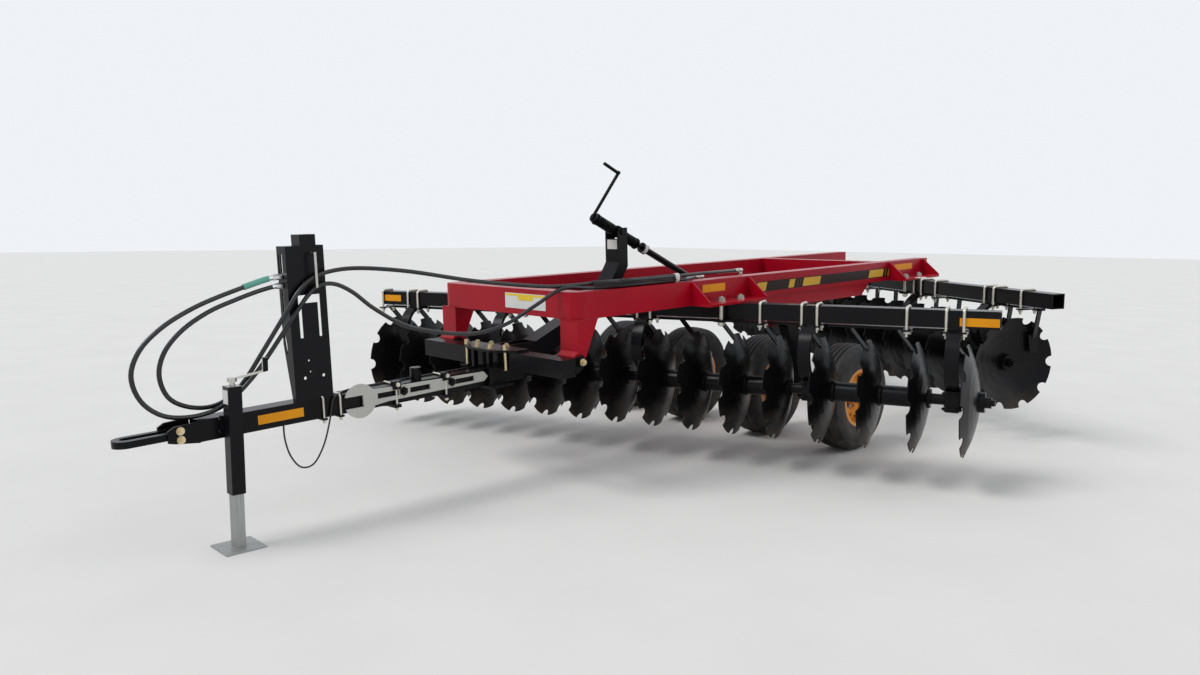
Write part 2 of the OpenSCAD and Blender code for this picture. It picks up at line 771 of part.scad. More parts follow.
// folded sheet holder, its hook rod and the box on top; slots as [across, width, low, high]
FRONT_SLOTS = [[-27, 10, 562, 655], [2, 18, 562, 655], [-9, 14, 366, 484]];
holder_y0 = -1400;
holder_y1 = -1200;
holder_z = 694;
module hose_holder() {
    color(black)
        hitch_place()
            union() {
                difference() {
                    block(44, 50, holder_y0, holder_y1, -76, holder_z);
                    x_plate([[-1352, 240], [-1335, 240], [-1335, 412], [-1251, 412], [-1251, 240], [-1236, 240],
                        [-1236, 452], [-1352, 452]], 40, 54);
                    for (h = [[-1343, 39, 16], [-1244, 41, 16], [-1313, 68, 8], [-1318, 125, 10]])
                        translate([47, h[0], h[1]])
                            x_rod(h[2], 20);
                }
                translate([0, holder_y0 + 6, 0])
                    rotate([90, 0, 0])
                        linear_extrude(height = 6)
                            difference() {
                                polygon([[44, holder_z], [44, -76], [16, -76], [-44, 210], [-44, holder_z]]);
                                polygon([[-30, 284], [-18, 262], [-4, 214], [-2, 176], [-9, 158], [-20, 184],
                                    [-30, 236]]);
                                for (f = FRONT_SLOTS)
                                    translate([f[0] - f[1] / 2, f[2]])
                                        square([f[1], f[3] - f[2]]);
                            }
                block(-44, 46, holder_y0, holder_y1, holder_z - 6, holder_z);
                block(-44, 44, holder_y1 - 120, holder_y1 - 36, holder_z - 1, holder_z + 54);
                translate([73, -1272, 655])
                    x_rod(14, 54);
                translate([100, -1272, 488])
                    cylinder(d = 14, h = 174);
            }
}

// open-ended wrench stored flat on the tongue's left side
module wrench() {
    color(steel)
        hitch_place()
            union() {
                for (y = [-803, -490])
                    translate([tube / 2 + 14, y, -112])
                        x_rod(18, 28);
                translate([tube / 2 + 8, 0, -118])
                    rotate([90, 0, 90])
                        linear_extrude(height = 12)
                            difference() {
                                union() {
                                    translate([-1060, -6])
                                        circle(r = 90, $fn = 48);
                                    polygon([[-1040, -50], [-900, -34], [-260, -24], [-232, 0], [-260, 30],
                                        [-900, 40], [-1040, 44]]);
                                }
                                translate([-1160, -38])
                                    square([116, 62]);
                                for (y = [-960, -760, -460])
                                    translate([y, -12])
                                        square([130, 30]);
                            }
            }
}

// outer tube upright on the tongue's left side, with bracket and crank
module jack_body() {
    x = tube / 2 + 24 + jack_tube / 2;
    color(black)
        translate([x, jack_y, 0])
            union() {
                difference() {
                    block(-jack_tube / 2, jack_tube / 2, -jack_tube / 2, jack_tube / 2, 262, jack_top);
                    block(-jack_leg_side / 2 - 0.7, jack_leg_side / 2 + 0.7, -jack_leg_side / 2 - 0.7, jack_leg_side / 2 + 0.7,
                        261, jack_top - 20);
                }
                block(-jack_tube / 2 - 24, -jack_tube / 2, -45, 45, 540, 632);
                translate([0, 0, jack_top])
                    cylinder(d = 24, h = 22);
                translate([0, 0, jack_top + 20])
                    cylinder(d = 44, h = 18);
                translate([0, 0, jack_top + 26])
                    rotate([9, 0, 0]) {
                        block(-7, 7, 0, 172, 0, 9);
                        translate([0, 162, 4])
                            rotate([-9, 0, 0])
                                cylinder(d = 28, h = 62);
                    }
            }
}

module jack_leg() {
    x = tube / 2 + 24 + jack_tube / 2;
    color(steel)
        translate([x, jack_y, 0])
            union() {
                block(-jack_leg_side / 2, jack_leg_side / 2, -jack_leg_side / 2, jack_leg_side / 2, 8, jack_top - 370);
                block(-jack_foot / 2, jack_foot / 2, -jack_foot / 2, jack_foot / 2, 0, 8);
            }
}

collar_z = screw_l - 270;

// tube from the lug up to its threaded collar
module level_tube() {
    color(black)
        screw_place()
            difference() {
                union() {
                    x_rod(48, 46);
                    translate([0, 0, 10])
                        cylinder(d = 46, h = collar_z - 10);
                    translate([0, 0, collar_z - 42])
                        cylinder(d = 72, h = 42);
                }
                x_rod(22, 60);
                translate([0, 0, 120])
                    cylinder(d = 34, h = collar_z);
            }
}

// screw with its spring seats, the trunnion block between the springs and the crank
module level_screw() {
    color(steel)
        screw_place()
            union() {
                translate([0, 0, collar_z - 160])
                    cylinder(d = 28, h = 650);
                translate([0, 0, screw_l - 208])
                    cylinder(d = 78, h = 8);
                translate([0, 0, screw_l + 200])
                    cylinder(d = 78, h = 8);
                block(-44, 44, -30, 30, screw_l - 32, screw_l + 32);
                translate([0, 0, screw_l])
                    x_rod(36, 103);
                translate([0, 0, screw_l + 204])
                    cylinder(d = 60, h = 30);
                translate([0, 0, screw_l + 230])
                    rotate([0, 0, -20]) {
                        block(-8, 8, -20, 340, 0, 14);
                        translate([0, 326, 0])
                            cylinder(d = 22, h = 145);
                    }
            }
}

// coil springs on both sides of the trunnion, drawn as rings
module level_springs() {
    color(black)
        screw_place()
            for (z0 = [screw_l - 193.2, screw_l + 38.8])
                translate([0, 0, z0])
                    union() {
                        for (i = [0 : 7])
                            translate([0, 0, i * 22])
                                rotate_extrude($fn = 40)
                                    translate([30, 0])
                                        circle(d = 13, $fn = 16);
                        difference() {
                            cylinder(r = 25, h = 154);
                            translate([0, 0, -1])
                                cylinder(r = 14.4, h = 156);
                        }
                    }
}

// ports along the barrel, and the height of the elbows on them
port_y = [75, 497];
elbow_z = [1199, 1232];
elbow_turn = [0, 9];

module cylinder_barrel() {
    color(black)
        union() {
            cylinder_place()
                difference() {
                    union() {
                        x_rod(64, 40);
                        translate([0, 0, 26])
                            cylinder(d = 100, h = 514);
                        for (z = port_y)
                            block(-16, 16, -60, -40, z - 16, z + 16);
                    }
                    x_rod(26, 60);
                    translate([0, 0, 60])
                        cylinder(d = cyl_rod_d + 2 * shaft_fit, h = 500);
                }
            for (i = [0 : 1])
                translate([cyl_x, cyl_base_y + port_y[i], 0]) {
                    translate([0, 0, cyl_base_z + 58])
                        cylinder(d = 25, h = elbow_z[i] - cyl_base_z - 58);
                    translate([0, 0, elbow_z[i]])
                        sphere(d = 30, $fn = 24);
                    translate([0, 0, elbow_z[i]])
                        rotate([0, 0, elbow_turn[i]])
                            rotate([90, 0, 0])
                                cylinder(d = 24, h = i == 0 ? 30 : 40);
                }
        }
}

module cylinder_rod() {
    color(steel)
        cylinder_place()
            union() {
                translate([0, 0, 240])
                    cylinder(d = cyl_rod_d, h = cyl_l - 240 - 24);
                translate([0, 0, cyl_l])
                    x_rod(60, 2 * lever_in - 2);
            }
}

// lug for the cylinder's base pin, on the left rail's inner face
module cylinder_lug() {
    block(cyl_x - 34, half_w - rail_w + 4, cyl_base_y - 100, cyl_base_y - 66, cyl_base_z - 25, cyl_base_z + 50);
    for (x = [cyl_x - 28, cyl_x + 28])
        block(x - 6, x + 6, cyl_base_y - 70, cyl_base_y + 22, cyl_base_z - 25, cyl_base_z + 35);
    translate([cyl_x, cyl_base_y, cyl_base_z])
        x_rod(25, 82);
}

// round tube of diameter d along the points of a path
function unit(v) = v / norm(v);
function tangent(p, i) = unit(p[min(i + 1, len(p) - 1)] - p[max(i - 1, 0)]);
function side(t) = unit(cross(t, abs(t[0]) < 0.9 ? [1, 0, 0] : [0, 0, 1]));
module swept(p, d, n) {
    rings = [for (i = [0 : len(p) - 1]) let (t = tangent(p, i), a = side(t), b = cross(t, a))
        for (k = [0 : n - 1]) p[i] + d / 2 * (cos(k * 360 / n) * a + sin(k * 360 / n) * b)];
    m = len(p);
    polyhedron(points = rings, faces = concat([[for (k = [0 : n - 1]) k]],
        [[for (k = [n - 1 : -1 : 0]) (m - 1) * n + k]],
        [for (i = [0 : m - 2]) for (k = [0 : n - 1]) [i * n + k, (i + 1) * n + k, (i + 1) * n + (k + 1) % n, i * n + (k + 1) % n]]));
}

module hose_long() {
    color(rubber)
        swept(LONG_PATH, hose_d, 8);
}

module hose_short() {
    color(rubber)
        swept(SHORT_PATH, hose_d, 8);
}

module light_cable() {
    color(rubber)
        swept(CABLE_PATH, cable_d, 8);
}

placed() left_rail();
placed() right_rail();
placed() front_cross();
placed() rear_cross();
placed() mid_cross();
placed() hitch_legs();
placed() rail_doublers();
placed() gang_pockets();
placed() front_beam();
placed() rear_beam();
placed() front_hangers();
placed() rear_hangers();
placed() front_scrapers();
placed() rear_scrapers();
placed() front_discs();
placed() front_spools();
placed() rear_discs();
placed() rear_spools();
placed() rockshaft();
placed() wheel_arms();
placed() tyre(wheel_x_out);  // tyre_1
placed() tyre(wheel_x_in);  // tyre_2
placed() tyre(-wheel_x_in);  // tyre_3
placed() tyre(-wheel_x_out);  // tyre_4
placed() rim(wheel_x_out, 1);  // rim_1
placed() rim(wheel_x_in, -1);  // rim_2
placed() rim(-wheel_x_in, 1);  // rim_3
placed() rim(-wheel_x_out, -1);  // rim_4
placed() tongue();
placed() hitch_loop();
placed() hitch_crossbeam();
placed() mast();
placed() hose_holder();
placed() wrench();
placed() jack_body();
placed() jack_leg();
placed() level_tube();
placed() level_screw();
placed() level_springs();
placed() cylinder_barrel();
placed() cylinder_rod();
placed() hose_long();
placed() hose_short();
placed() light_cable();
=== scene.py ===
"""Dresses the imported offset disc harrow: paint, ribbed tyres, clamps, bolts, springs, hoses, reflectors."""

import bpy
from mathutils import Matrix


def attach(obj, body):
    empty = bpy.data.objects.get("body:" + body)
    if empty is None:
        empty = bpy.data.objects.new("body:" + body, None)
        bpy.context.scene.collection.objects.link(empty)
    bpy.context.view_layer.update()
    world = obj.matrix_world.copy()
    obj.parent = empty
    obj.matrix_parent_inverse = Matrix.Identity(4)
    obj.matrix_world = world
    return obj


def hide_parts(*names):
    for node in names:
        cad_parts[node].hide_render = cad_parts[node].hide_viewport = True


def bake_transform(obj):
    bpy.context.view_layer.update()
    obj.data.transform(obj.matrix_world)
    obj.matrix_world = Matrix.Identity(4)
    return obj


bl_info = {
    "name": "Disc harrow dresser",
    "version": (1, 0, 0),
    "blender": (4, 5, 0),
    "location": "3D View > Sidebar > Harrow",
    "description": "Builds the finishes and small parts of an offset disc harrow over its jointed frame",
    "category": "Object",
}

from math import atan2, cos, hypot, pi, radians, sin, tan

import bmesh
import bpy
from bpy.props import FloatProperty, FloatVectorProperty, IntProperty, PointerProperty
from mathutils import Matrix, Vector

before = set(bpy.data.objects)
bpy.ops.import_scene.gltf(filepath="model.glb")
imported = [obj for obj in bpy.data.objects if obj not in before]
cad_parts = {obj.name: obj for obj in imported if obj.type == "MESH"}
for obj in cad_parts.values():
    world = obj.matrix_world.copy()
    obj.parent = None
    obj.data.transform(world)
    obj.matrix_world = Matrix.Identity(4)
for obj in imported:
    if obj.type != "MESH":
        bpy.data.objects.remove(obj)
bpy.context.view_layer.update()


# Places: the same frames of reference as the solids, in metres

SHIFT = Matrix.Translation((-0.03015, -1.64235, 0))
PITCH = radians(1.74)
FRAME = (SHIFT @ Matrix.Translation((0, 0, 1)) @ Matrix.Rotation(PITCH, 4, "X")
         @ Matrix.Translation((0, 0, -1)))
ALONG_RAIL = Matrix(((0, 0, 1, 0), (1, 0, 0, 0), (0, 1, 0, 0), (0, 0, 0, 1)))


def off_frame(y, z):
    """Upright Y and Z of a point of the pitched frame, whose z counts from its pivot 1 m up."""
    return (y * cos(PITCH) - z * sin(PITCH), 1 + y * sin(PITCH) + z * cos(PITCH))


PIN = off_frame(-0.002, -0.2244)
HITCH_TILT = radians(2.5)
HITCH = (SHIFT @ Matrix.Translation((0, *PIN)) @ Matrix.Rotation(HITCH_TILT, 4, "X")
         @ Matrix.Translation((0, 0.032, 0)))
LUG = off_frame(1.74, 0.1)
TRUNNION = (0.942, 1.491)
SCREW_LENGTH = hypot(LUG[0] - TRUNNION[0], TRUNNION[1] - LUG[1])
SCREW_ANGLE = atan2(TRUNNION[1] - LUG[1], LUG[0] - TRUNNION[0])
SCREW = SHIFT @ Matrix.Translation((0, *LUG)) @ Matrix.Rotation(pi / 2 - SCREW_ANGLE, 4, "X")

# sizes
HALF_WIDTH = 0.640
RAIL_Z, RAIL_TOP = 1.004, 1.156
BEAM = 0.102
BEAM_Z = RAIL_Z - BEAM / 2
AXIS_Z = RAIL_Z - 0.532
DISC_PITCH = 0.2794
HANGER_GAPS = (0.5, 3.5, 7.5, 11.5, 14.5)
JACK_X = 0.107
JACK_Y = PIN[0] - (1.880 - 0.140 - 0.032) * cos(HITCH_TILT) + 0.127 * sin(HITCH_TILT)
JACK_KNOB_Y = SHIFT.translation.y + JACK_Y + 0.146
WHEELS = {"wheel_1": 1.048, "wheel_2": 0.364, "wheel_3": -0.364, "wheel_4": -1.048}
WHEEL_Y, WHEEL_Z = 2.180, 0.368


def on_axle(x, side=1):
    """A wheel's place: its z axis lies along the axle and points to the given side."""
    return SHIFT @ Matrix.Translation((x, WHEEL_Y, WHEEL_Z)) @ Matrix.Rotation(side * pi / 2, 4, "Y")


# each gang: its name, its place, its first disc and the places of its single U-bolts
FRONT_Y, REAR_Y = 1.076, 4.139
FRONT_ANGLE, REAR_ANGLE = radians(18), radians(28)
FRONT_GANG = FRAME @ Matrix.Translation((0, FRONT_Y, 0)) @ Matrix.Rotation(FRONT_ANGLE, 4, "Z")
REAR_GANG = FRAME @ Matrix.Translation((0, REAR_Y, 0)) @ Matrix.Rotation(-REAR_ANGLE, 4, "Z")
GANGS = (("front", FRONT_GANG, 2.121 / cos(FRONT_ANGLE), (1.826, 0.940, -0.560, -1.400, -2.117)),
         ("rear", REAR_GANG, 1.704 / cos(REAR_ANGLE), (2.111, 1.180, 0.240, -0.760, -1.700)))

# routes of the cords in millimetres, point by point as in the solids
HOSE_LONG = [
    (0, -1386, 1261.4), (0, -1426, 1259.7), (0, -1500, 1243), (0, -1710, 1174), (2, -1840, 1120),
    (5, -1960, 1050), (10, -2055, 960), (15, -2098, 850), (15, -2065, 735), (12, -1975, 656), (6, -1855, 632),
    (10, -1740, 650), (20, -1650, 705), (34, -1570, 785), (52, -1500, 880), (71, -1350, 1095),
    (73, -1290, 1172), (76, -1230, 1218), (92, -1155, 1222), (115, -1070, 1178), (150, -960, 1085),
    (200, -780, 985), (280, -480, 936), (352, -290, 977), (430, -130, 1082), (505, 0, 1172), (575, 160, 1174),
    (598, 420, 1181.2), (596, 900, 1195.8), (586, 975, 1198.5), (534, 1078, 1202), (476, 1190, 1200),
    (470, 1222, 1199), (470, 1244.7, 1199)]
HOSE_SHORT = [
    (0, -1384.1, 1218.4), (0, -1424.1, 1216.7), (0, -1510, 1196), (0, -1620, 1160), (2, -1745, 1112),
    (4, -1865, 1038), (8, -1950, 945), (10, -1980, 840), (6, -1945, 735), (-6, -1855, 678), (-16, -1745, 664),
    (-10, -1655, 702), (10, -1590, 780), (44, -1530, 890), (70, -1400, 1100), (72, -1340, 1190),
    (76, -1270, 1252), (88, -1170, 1288), (130, -1030, 1300), (220, -800, 1280), (330, -480, 1226),
    (440, -120, 1188), (505, 60, 1188), (562, 220, 1201), (594, 420, 1207.5), (597, 950, 1224),
    (590, 1100, 1229), (570, 1250, 1231), (513, 1490, 1232), (489, 1585, 1232), (476.3, 1657.2, 1232)]
LIGHT_CABLE = [
    (-35, -135.3, 698.2), (-42, -750, 671.3), (-34, -980, 661.3), (-4, -1075, 657.1), (26, -1108, 655.7),
    (48, -1130, 656), (60, -1150, 654), (62, -1172, 625), (63, -1190, 530), (62, -1225, 410),
    (58, -1280, 320), (51, -1345, 312), (45, -1395, 375), (41, -1420, 460), (40, -1425, 534.7)]


# Meshes

COPIES = "copies_on_points"
HERE = Matrix.Identity(4)


def route(points):
    return [SHIFT @ Vector((x / 1000, y / 1000, z / 1000)) for x, y, z in points]


def cord_line(points):
    """The smooth line of a cord through the points of its route."""
    return curved(route(points), 5)


def placed(place, *points):
    return [place @ Vector(p) for p in points]


def mesh_of(name, bm, material):
    mesh = bpy.data.meshes.new(name)
    bm.to_mesh(mesh)
    bm.free()
    mesh.materials.append(material)
    return mesh


def shown(name, mesh, smooth):
    """Puts a mesh in the scene, with flat faces and round ones told apart by an angle in degrees."""
    if smooth:
        mesh.shade_smooth()
        mesh.set_sharp_from_angle(angle=radians(smooth))
    piece = bpy.data.objects.new(name, mesh)
    bpy.context.scene.collection.objects.link(piece)
    return piece


def carried(piece, body):
    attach(piece, body)
    return piece


def add_piece(name, bm, finish, body, smooth=30):
    """A piece of its own in a named finish, which rides on a body."""
    return carried(shown(name, mesh_of(name, bm, FINISH[finish]), smooth), body)


def add_box(bm, low, high, place=HERE, bevel=0.0):
    made = bmesh.ops.create_cube(bm, size=1.0)
    verts = made["verts"]
    for v in verts:
        v.co = Vector([(low[i] + high[i]) / 2 + v.co[i] * (high[i] - low[i]) for i in range(3)])
    if bevel:
        edges = list({e for v in verts for e in v.link_edges})
        beveled = bmesh.ops.bevel(bm, geom=edges, offset=bevel, segments=2, profile=0.7, affect="EDGES")
        verts = list(set(beveled["verts"]) | {v for v in verts if v.is_valid})
    bmesh.ops.transform(bm, matrix=place, verts=verts)


def add_lathe(bm, profile, steps, place=HERE):
    """Turns a closed outline of (along, radius) points round the z axis of place."""
    rings = []
    for i in range(steps):
        x, y = cos(2 * pi * i / steps), sin(2 * pi * i / steps)
        rings.append([bm.verts.new(place @ Vector((r * x, r * y, z))) for z, r in profile])
    count = len(profile)
    for i in range(steps):
        a, b = rings[i], rings[(i + 1) % steps]
        for k in range(count):
            j = (k + 1) % count
            bm.faces.new((a[k], b[k], b[j], a[j]))


def add_rod(bm, start, end, radius, steps=16, place=HERE):
    """Closed round bar between two points of place; six steps make a nut or a bolt's head."""
    start, end = placed(place, start, end)
    axis = end - start
    made = bmesh.ops.create_cone(bm, cap_ends=True, segments=steps, radius1=radius, radius2=radius,
                                 depth=axis.length)
    middle = Matrix.Translation((0, 0, axis.length / 2))
    bmesh.ops.transform(bm, matrix=facing(start, axis) @ middle, verts=made["verts"])


def add_tube(bm, points, radius, steps=12):
    """Round bar along a line of points."""
    points = [Vector(p) for p in points]
    last = len(points) - 1
    before = None
    rings = []
    for i, p in enumerate(points):
        t = (points[min(i + 1, last)] - points[max(i - 1, 0)]).normalized()
        if before is None:
            side = t.cross(Vector((1, 0, 0)) if abs(t.x) < 0.9 else Vector((0, 0, 1))).normalized()
        else:
            side = (before - t * before.dot(t)).normalized()
        before = side
        other = t.cross(side)
        turns = [2 * pi * k / steps for k in range(steps)]
        rings.append([bm.verts.new(p + radius * (cos(a) * side + sin(a) * other)) for a in turns])
    for a, b in zip(rings, rings[1:]):
        for k in range(steps):
            j = (k + 1) % steps
            bm.faces.new((a[k], a[j], b[j], b[k]))
    bm.faces.new(list(reversed(rings[0])))
    bm.faces.new(rings[-1])


def add_prism(bm, outline, thickness, place):
    """Plate with an outline in x and y of place, from z = 0 to its thickness."""
    low, high = [[bm.verts.new(place @ Vector((x, y, z))) for x, y in outline] for z in (0, thickness)]
    bm.faces.new(list(reversed(low)))
    bm.faces.new(high)
    for i in range(len(outline)):
        j = (i + 1) % len(outline)
        bm.faces.new((low[i], low[j], high[j], high[i]))


def add_bead(bm, start, end, place, radius=0.004):
    """Weld bead between two points of place: a low ridge with a ripple every few millimetres."""
    sides, ripple, dip = 6, 0.006, 0.78
    start, end = placed(place, start, end)
    count = max(4, int((end - start).length / ripple))
    line = [start.lerp(end, i / count) for i in range(count + 1)]
    first = len(bm.verts)
    add_tube(bm, line, radius, sides)
    bm.verts.ensure_lookup_table()
    for i, point in enumerate(line):
        if i % 2:
            for v in bm.verts[first + i * sides:first + (i + 1) * sides]:
                v.co = point + (v.co - point) * dip


def add_patch(bm, radius, low, high, start, end, place):
    """Part of a cylinder's surface between two angles in degrees."""
    steps = 12
    rows = []
    for i in range(steps + 1):
        a = radians(start + (end - start) * i / steps)
        x, y = radius * cos(a), radius * sin(a)
        rows.append([bm.verts.new(place @ Vector((x, y, z))) for z in (low, high)])
    for (a, b), (c, d) in zip(rows, rows[1:]):
        bm.faces.new((a, c, d, b))


def add_wrap(bm, points, half_width, half_height, pitch, wire):
    """A wire wound round a bundle that is higher than it is wide, at a pitch along the path."""
    total, per = length_of(points), 16
    count = int(total / pitch * per)
    line, walked, k = [], 0.0, 0
    for i in range(count):
        mark = total * i / count
        while walked + (points[k + 1] - points[k]).length < mark:
            walked += (points[k + 1] - points[k]).length
            k += 1
        step = points[k + 1] - points[k]
        centre = points[k] + step * ((mark - walked) / step.length)
        side = step.cross(Vector((0, 0, 1))).normalized()
        a = 2 * pi * i / per
        line.append(centre + side * half_width * cos(a) + Vector((0, 0, half_height * sin(a))))
    add_tube(bm, line, wire, 6)


def stretch_of(points, start, stop):
    """The part of a path between two distances along it."""
    found, walked = [], 0.0
    for a, b in zip(points, points[1:]):
        step = (b - a).length
        for mark in (start, stop):
            if walked <= mark < walked + step:
                found.append(a.lerp(b, (mark - walked) / step))
        if start < walked + step < stop:
            found.append(b)
        walked += step
    return found


def curved(points, per=6):
    """Fine points on a smooth curve through the given ones."""
    fine = []
    count = len(points)
    for i in range(count - 1):
        a = points[max(i - 1, 0)]
        b, c = points[i], points[i + 1]
        d = points[min(i + 2, count - 1)]
        for k in range(per):
            t = k / per
            fine.append(0.5 * ((2 * b) + (c - a) * t + (2 * a - 5 * b + 4 * c - d) * t * t
                               + (3 * b - a - 3 * c + d) * t * t * t))
    fine.append(points[-1])
    return fine


def length_of(points):
    return sum((b - a).length for a, b in zip(points, points[1:]))


def copies_tree():
    """Geometry Nodes that set a turned copy of the unit on each point, as plain mesh."""
    tree = bpy.data.node_groups.new(COPIES, "GeometryNodeTree")
    for label, way, kind in (("Geometry", "INPUT", "Geometry"), ("Unit", "INPUT", "Object"),
                             ("Finish", "INPUT", "Material"), ("Geometry", "OUTPUT", "Geometry")):
        tree.interface.new_socket(label, in_out=way, socket_type="NodeSocket" + kind)
    start, end, read, turn, source, copies, real, finish = [tree.nodes.new(kind) for kind in (
        "NodeGroupInput", "NodeGroupOutput", "GeometryNodeInputNamedAttribute", "FunctionNodeEulerToRotation",
        "GeometryNodeObjectInfo", "GeometryNodeInstanceOnPoints", "GeometryNodeRealizeInstances",
        "GeometryNodeSetMaterial")]
    read.data_type = "FLOAT_VECTOR"
    read.inputs["Name"].default_value = "turn"
    for giver, output, taker, socket in (
            (read, "Attribute", turn, "Euler"), (start, "Unit", source, "Object"),
            (start, "Geometry", copies, "Points"), (source, "Geometry", copies, "Instance"),
            (turn, "Rotation", copies, "Rotation"), (copies, "Instances", real, "Geometry"),
            (real, "Geometry", finish, "Geometry"), (start, "Finish", finish, "Material"),
            (finish, "Geometry", end, "Geometry")):
        tree.links.new(giver.outputs[output], taker.inputs[socket])
    return tree


def repeated(name, unit_mesh, places, finish, body):
    """Sets a copy of the unit at each place, as one piece that rides on a body."""
    unit = bpy.data.objects.new(name + "_unit", unit_mesh)
    spots = bpy.data.meshes.new(name + "_spots")
    spots.from_pydata([tuple(place.translation) for place in places], [], [])
    turns = spots.attributes.new("turn", "FLOAT_VECTOR", "POINT")
    for value, place in zip(turns.data, places):
        value.vector = tuple(place.to_euler())
    holder = bpy.data.objects.new(name + "_spots", spots)
    bpy.context.scene.collection.objects.link(holder)
    modifier = holder.modifiers.new("copies", "NODES")
    modifier.node_group = bpy.data.node_groups.get(COPIES) or copies_tree()
    given = {"Unit": unit, "Finish": FINISH[finish]}
    for item in modifier.node_group.interface.items_tree:
        if item.name in given:
            modifier[item.identifier] = given[item.name]
    bpy.context.view_layer.update()
    mesh = bpy.data.meshes.new_from_object(holder.evaluated_get(bpy.context.evaluated_depsgraph_get()))
    mesh.name = name
    for helper in (holder, unit):
        bpy.data.objects.remove(helper)
    return carried(shown(name, mesh, 30), body)


def add_bolts(name, across, shank, places, finish, body):
    """Hexagon heads with washers; each place's z points out of the plate that the bolt holds."""
    bm = bmesh.new()
    washer = 0.0035
    head = washer + across * 0.50
    add_rod(bm, (0, 0, 0), (0, 0, washer), across * 0.72, 20)
    add_rod(bm, (0, 0, washer), (0, 0, head), across * 0.577, 6)
    add_rod(bm, (0, 0, head), (0, 0, head + shank), across * 0.30, 12)
    repeated(name, mesh_of(name + "_unit", bm, FINISH[finish]), places, finish, body)


def facing(point, normal):
    """A place at a point whose z axis is the given normal."""
    return Matrix.Translation(Vector(point)) @ Vector(normal).to_track_quat("Z", "Y").to_matrix().to_4x4()


# Finishes

def node_tree(name, color, roughness, metallic=0.0, coat=0.0, specular=0.5):
    material = bpy.data.materials.new(name)
    material.use_nodes = True
    tree = material.node_tree
    shader = tree.nodes["Principled BSDF"]
    for label, value in (("Base Color", (*color, 1)), ("Roughness", roughness), ("Metallic", metallic),
                         ("Coat Weight", coat), ("Coat Roughness", 0.15), ("Specular IOR Level", specular)):
        shader.inputs[label].default_value = value
    material.diffuse_color = (*color, 1)
    return material, tree, shader


def give(tree, value, socket):
    """Links an output to a socket, or sets the socket to a number or a colour."""
    if isinstance(value, (int, float)):
        socket.default_value = value
    elif isinstance(value, tuple):
        socket.default_value = (*value, 1)
    else:
        tree.links.new(value, socket)


def noise(tree, scale, detail=4.0, stretch=None):
    where = tree.nodes.new("ShaderNodeTexCoord").outputs["Object"]
    if stretch:
        mapping = tree.nodes.new("ShaderNodeMapping")
        mapping.inputs["Scale"].default_value = stretch
        tree.links.new(where, mapping.inputs["Vector"])
        where = mapping.outputs["Vector"]
    texture = tree.nodes.new("ShaderNodeTexNoise")
    texture.inputs["Scale"].default_value = scale
    texture.inputs["Detail"].default_value = detail
    tree.links.new(where, texture.inputs["Vector"])
    return texture.outputs["Fac"]


def ramp(tree, value, low, high, to_low=0.0, to_high=1.0):
    node = tree.nodes.new("ShaderNodeMapRange")
    for label, number in (("From Min", low), ("From Max", high), ("To Min", to_low), ("To Max", to_high)):
        node.inputs[label].default_value = number
    tree.links.new(value, node.inputs["Value"])
    return node.outputs["Result"]


def mixed(tree, factor, first, second):
    node = tree.nodes.new("ShaderNodeMix")
    node.data_type = "RGBA"
    tree.links.new(factor, node.inputs["Factor"])
    give(tree, first, node.inputs[6])
    give(tree, second, node.inputs[7])
    return node.outputs[2]


def product(tree, a, b, operation="MULTIPLY"):
    """Two values multiplied, or joined by another operation."""
    node = tree.nodes.new("ShaderNodeMath")
    node.operation = operation
    give(tree, a, node.inputs[0])
    give(tree, b, node.inputs[1])
    return node.outputs[0]


def bump(tree, shader, height, distance, strength=1.0):
    node = tree.nodes.new("ShaderNodeBump")
    node.inputs["Distance"].default_value = distance
    node.inputs["Strength"].default_value = strength
    tree.links.new(height, node.inputs["Height"])
    tree.links.new(node.outputs["Normal"], shader.inputs["Normal"])


def axis_of(tree, source_type, output, axis="Z"):
    """One axis of a vector that a node gives."""
    source = tree.nodes.new(source_type)
    split = tree.nodes.new("ShaderNodeSeparateXYZ")
    tree.links.new(source.outputs[output], split.inputs[0])
    return split.outputs[axis]


def painted(name, color, second, roughness=0.4, dust=0.06, specular=0.2, coat=0.0):
    """Sprayed paint with orange peel, a little colour drift, and field dust that lies on what faces up."""
    material, tree, shader = node_tree(name, color, roughness, coat=coat, specular=specular)
    base = mixed(tree, ramp(tree, noise(tree, 3.0, 5.0), 0.35, 0.65), color, second)
    patches = ramp(tree, noise(tree, 9.0, 8.0), 0.48, 0.70)
    up = ramp(tree, axis_of(tree, "ShaderNodeNewGeometry", "Normal"), 0.1, 0.95)
    settled = product(tree, product(tree, patches, up), dust)
    speckle = product(tree, ramp(tree, noise(tree, 60.0, 6.0), 0.60, 0.72), dust * 0.35)
    dirt = product(tree, settled, speckle, "ADD")
    give(tree, mixed(tree, dirt, base, (0.20, 0.15, 0.10)), shader.inputs["Base Color"])
    give(tree, ramp(tree, dirt, 0.0, 1.0, roughness, 0.75), shader.inputs["Roughness"])
    bump(tree, shader, noise(tree, 260.0, 2.0), 0.0004, 0.25)
    return material


def metal(name, color, roughness, streaks=(1, 1, 1)):
    """Bare or plated steel with fine streaks and dull spots."""
    material, tree, shader = node_tree(name, color, roughness, metallic=1.0)
    spots = ramp(tree, noise(tree, 14.0, 7.0), 0.45, 0.75)
    fine = ramp(tree, noise(tree, 90.0, 3.0, streaks), 0.3, 0.7)
    dull = product(tree, product(tree, spots, fine), 0.5)
    give(tree, mixed(tree, dull, color, (0.35, 0.33, 0.30)), shader.inputs["Base Color"])
    rough = ramp(tree, fine, 0.0, 1.0, roughness * 0.8, min(roughness * 1.6, 0.9))
    give(tree, rough, shader.inputs["Roughness"])
    bump(tree, shader, fine, 0.0003, 0.3)
    return material


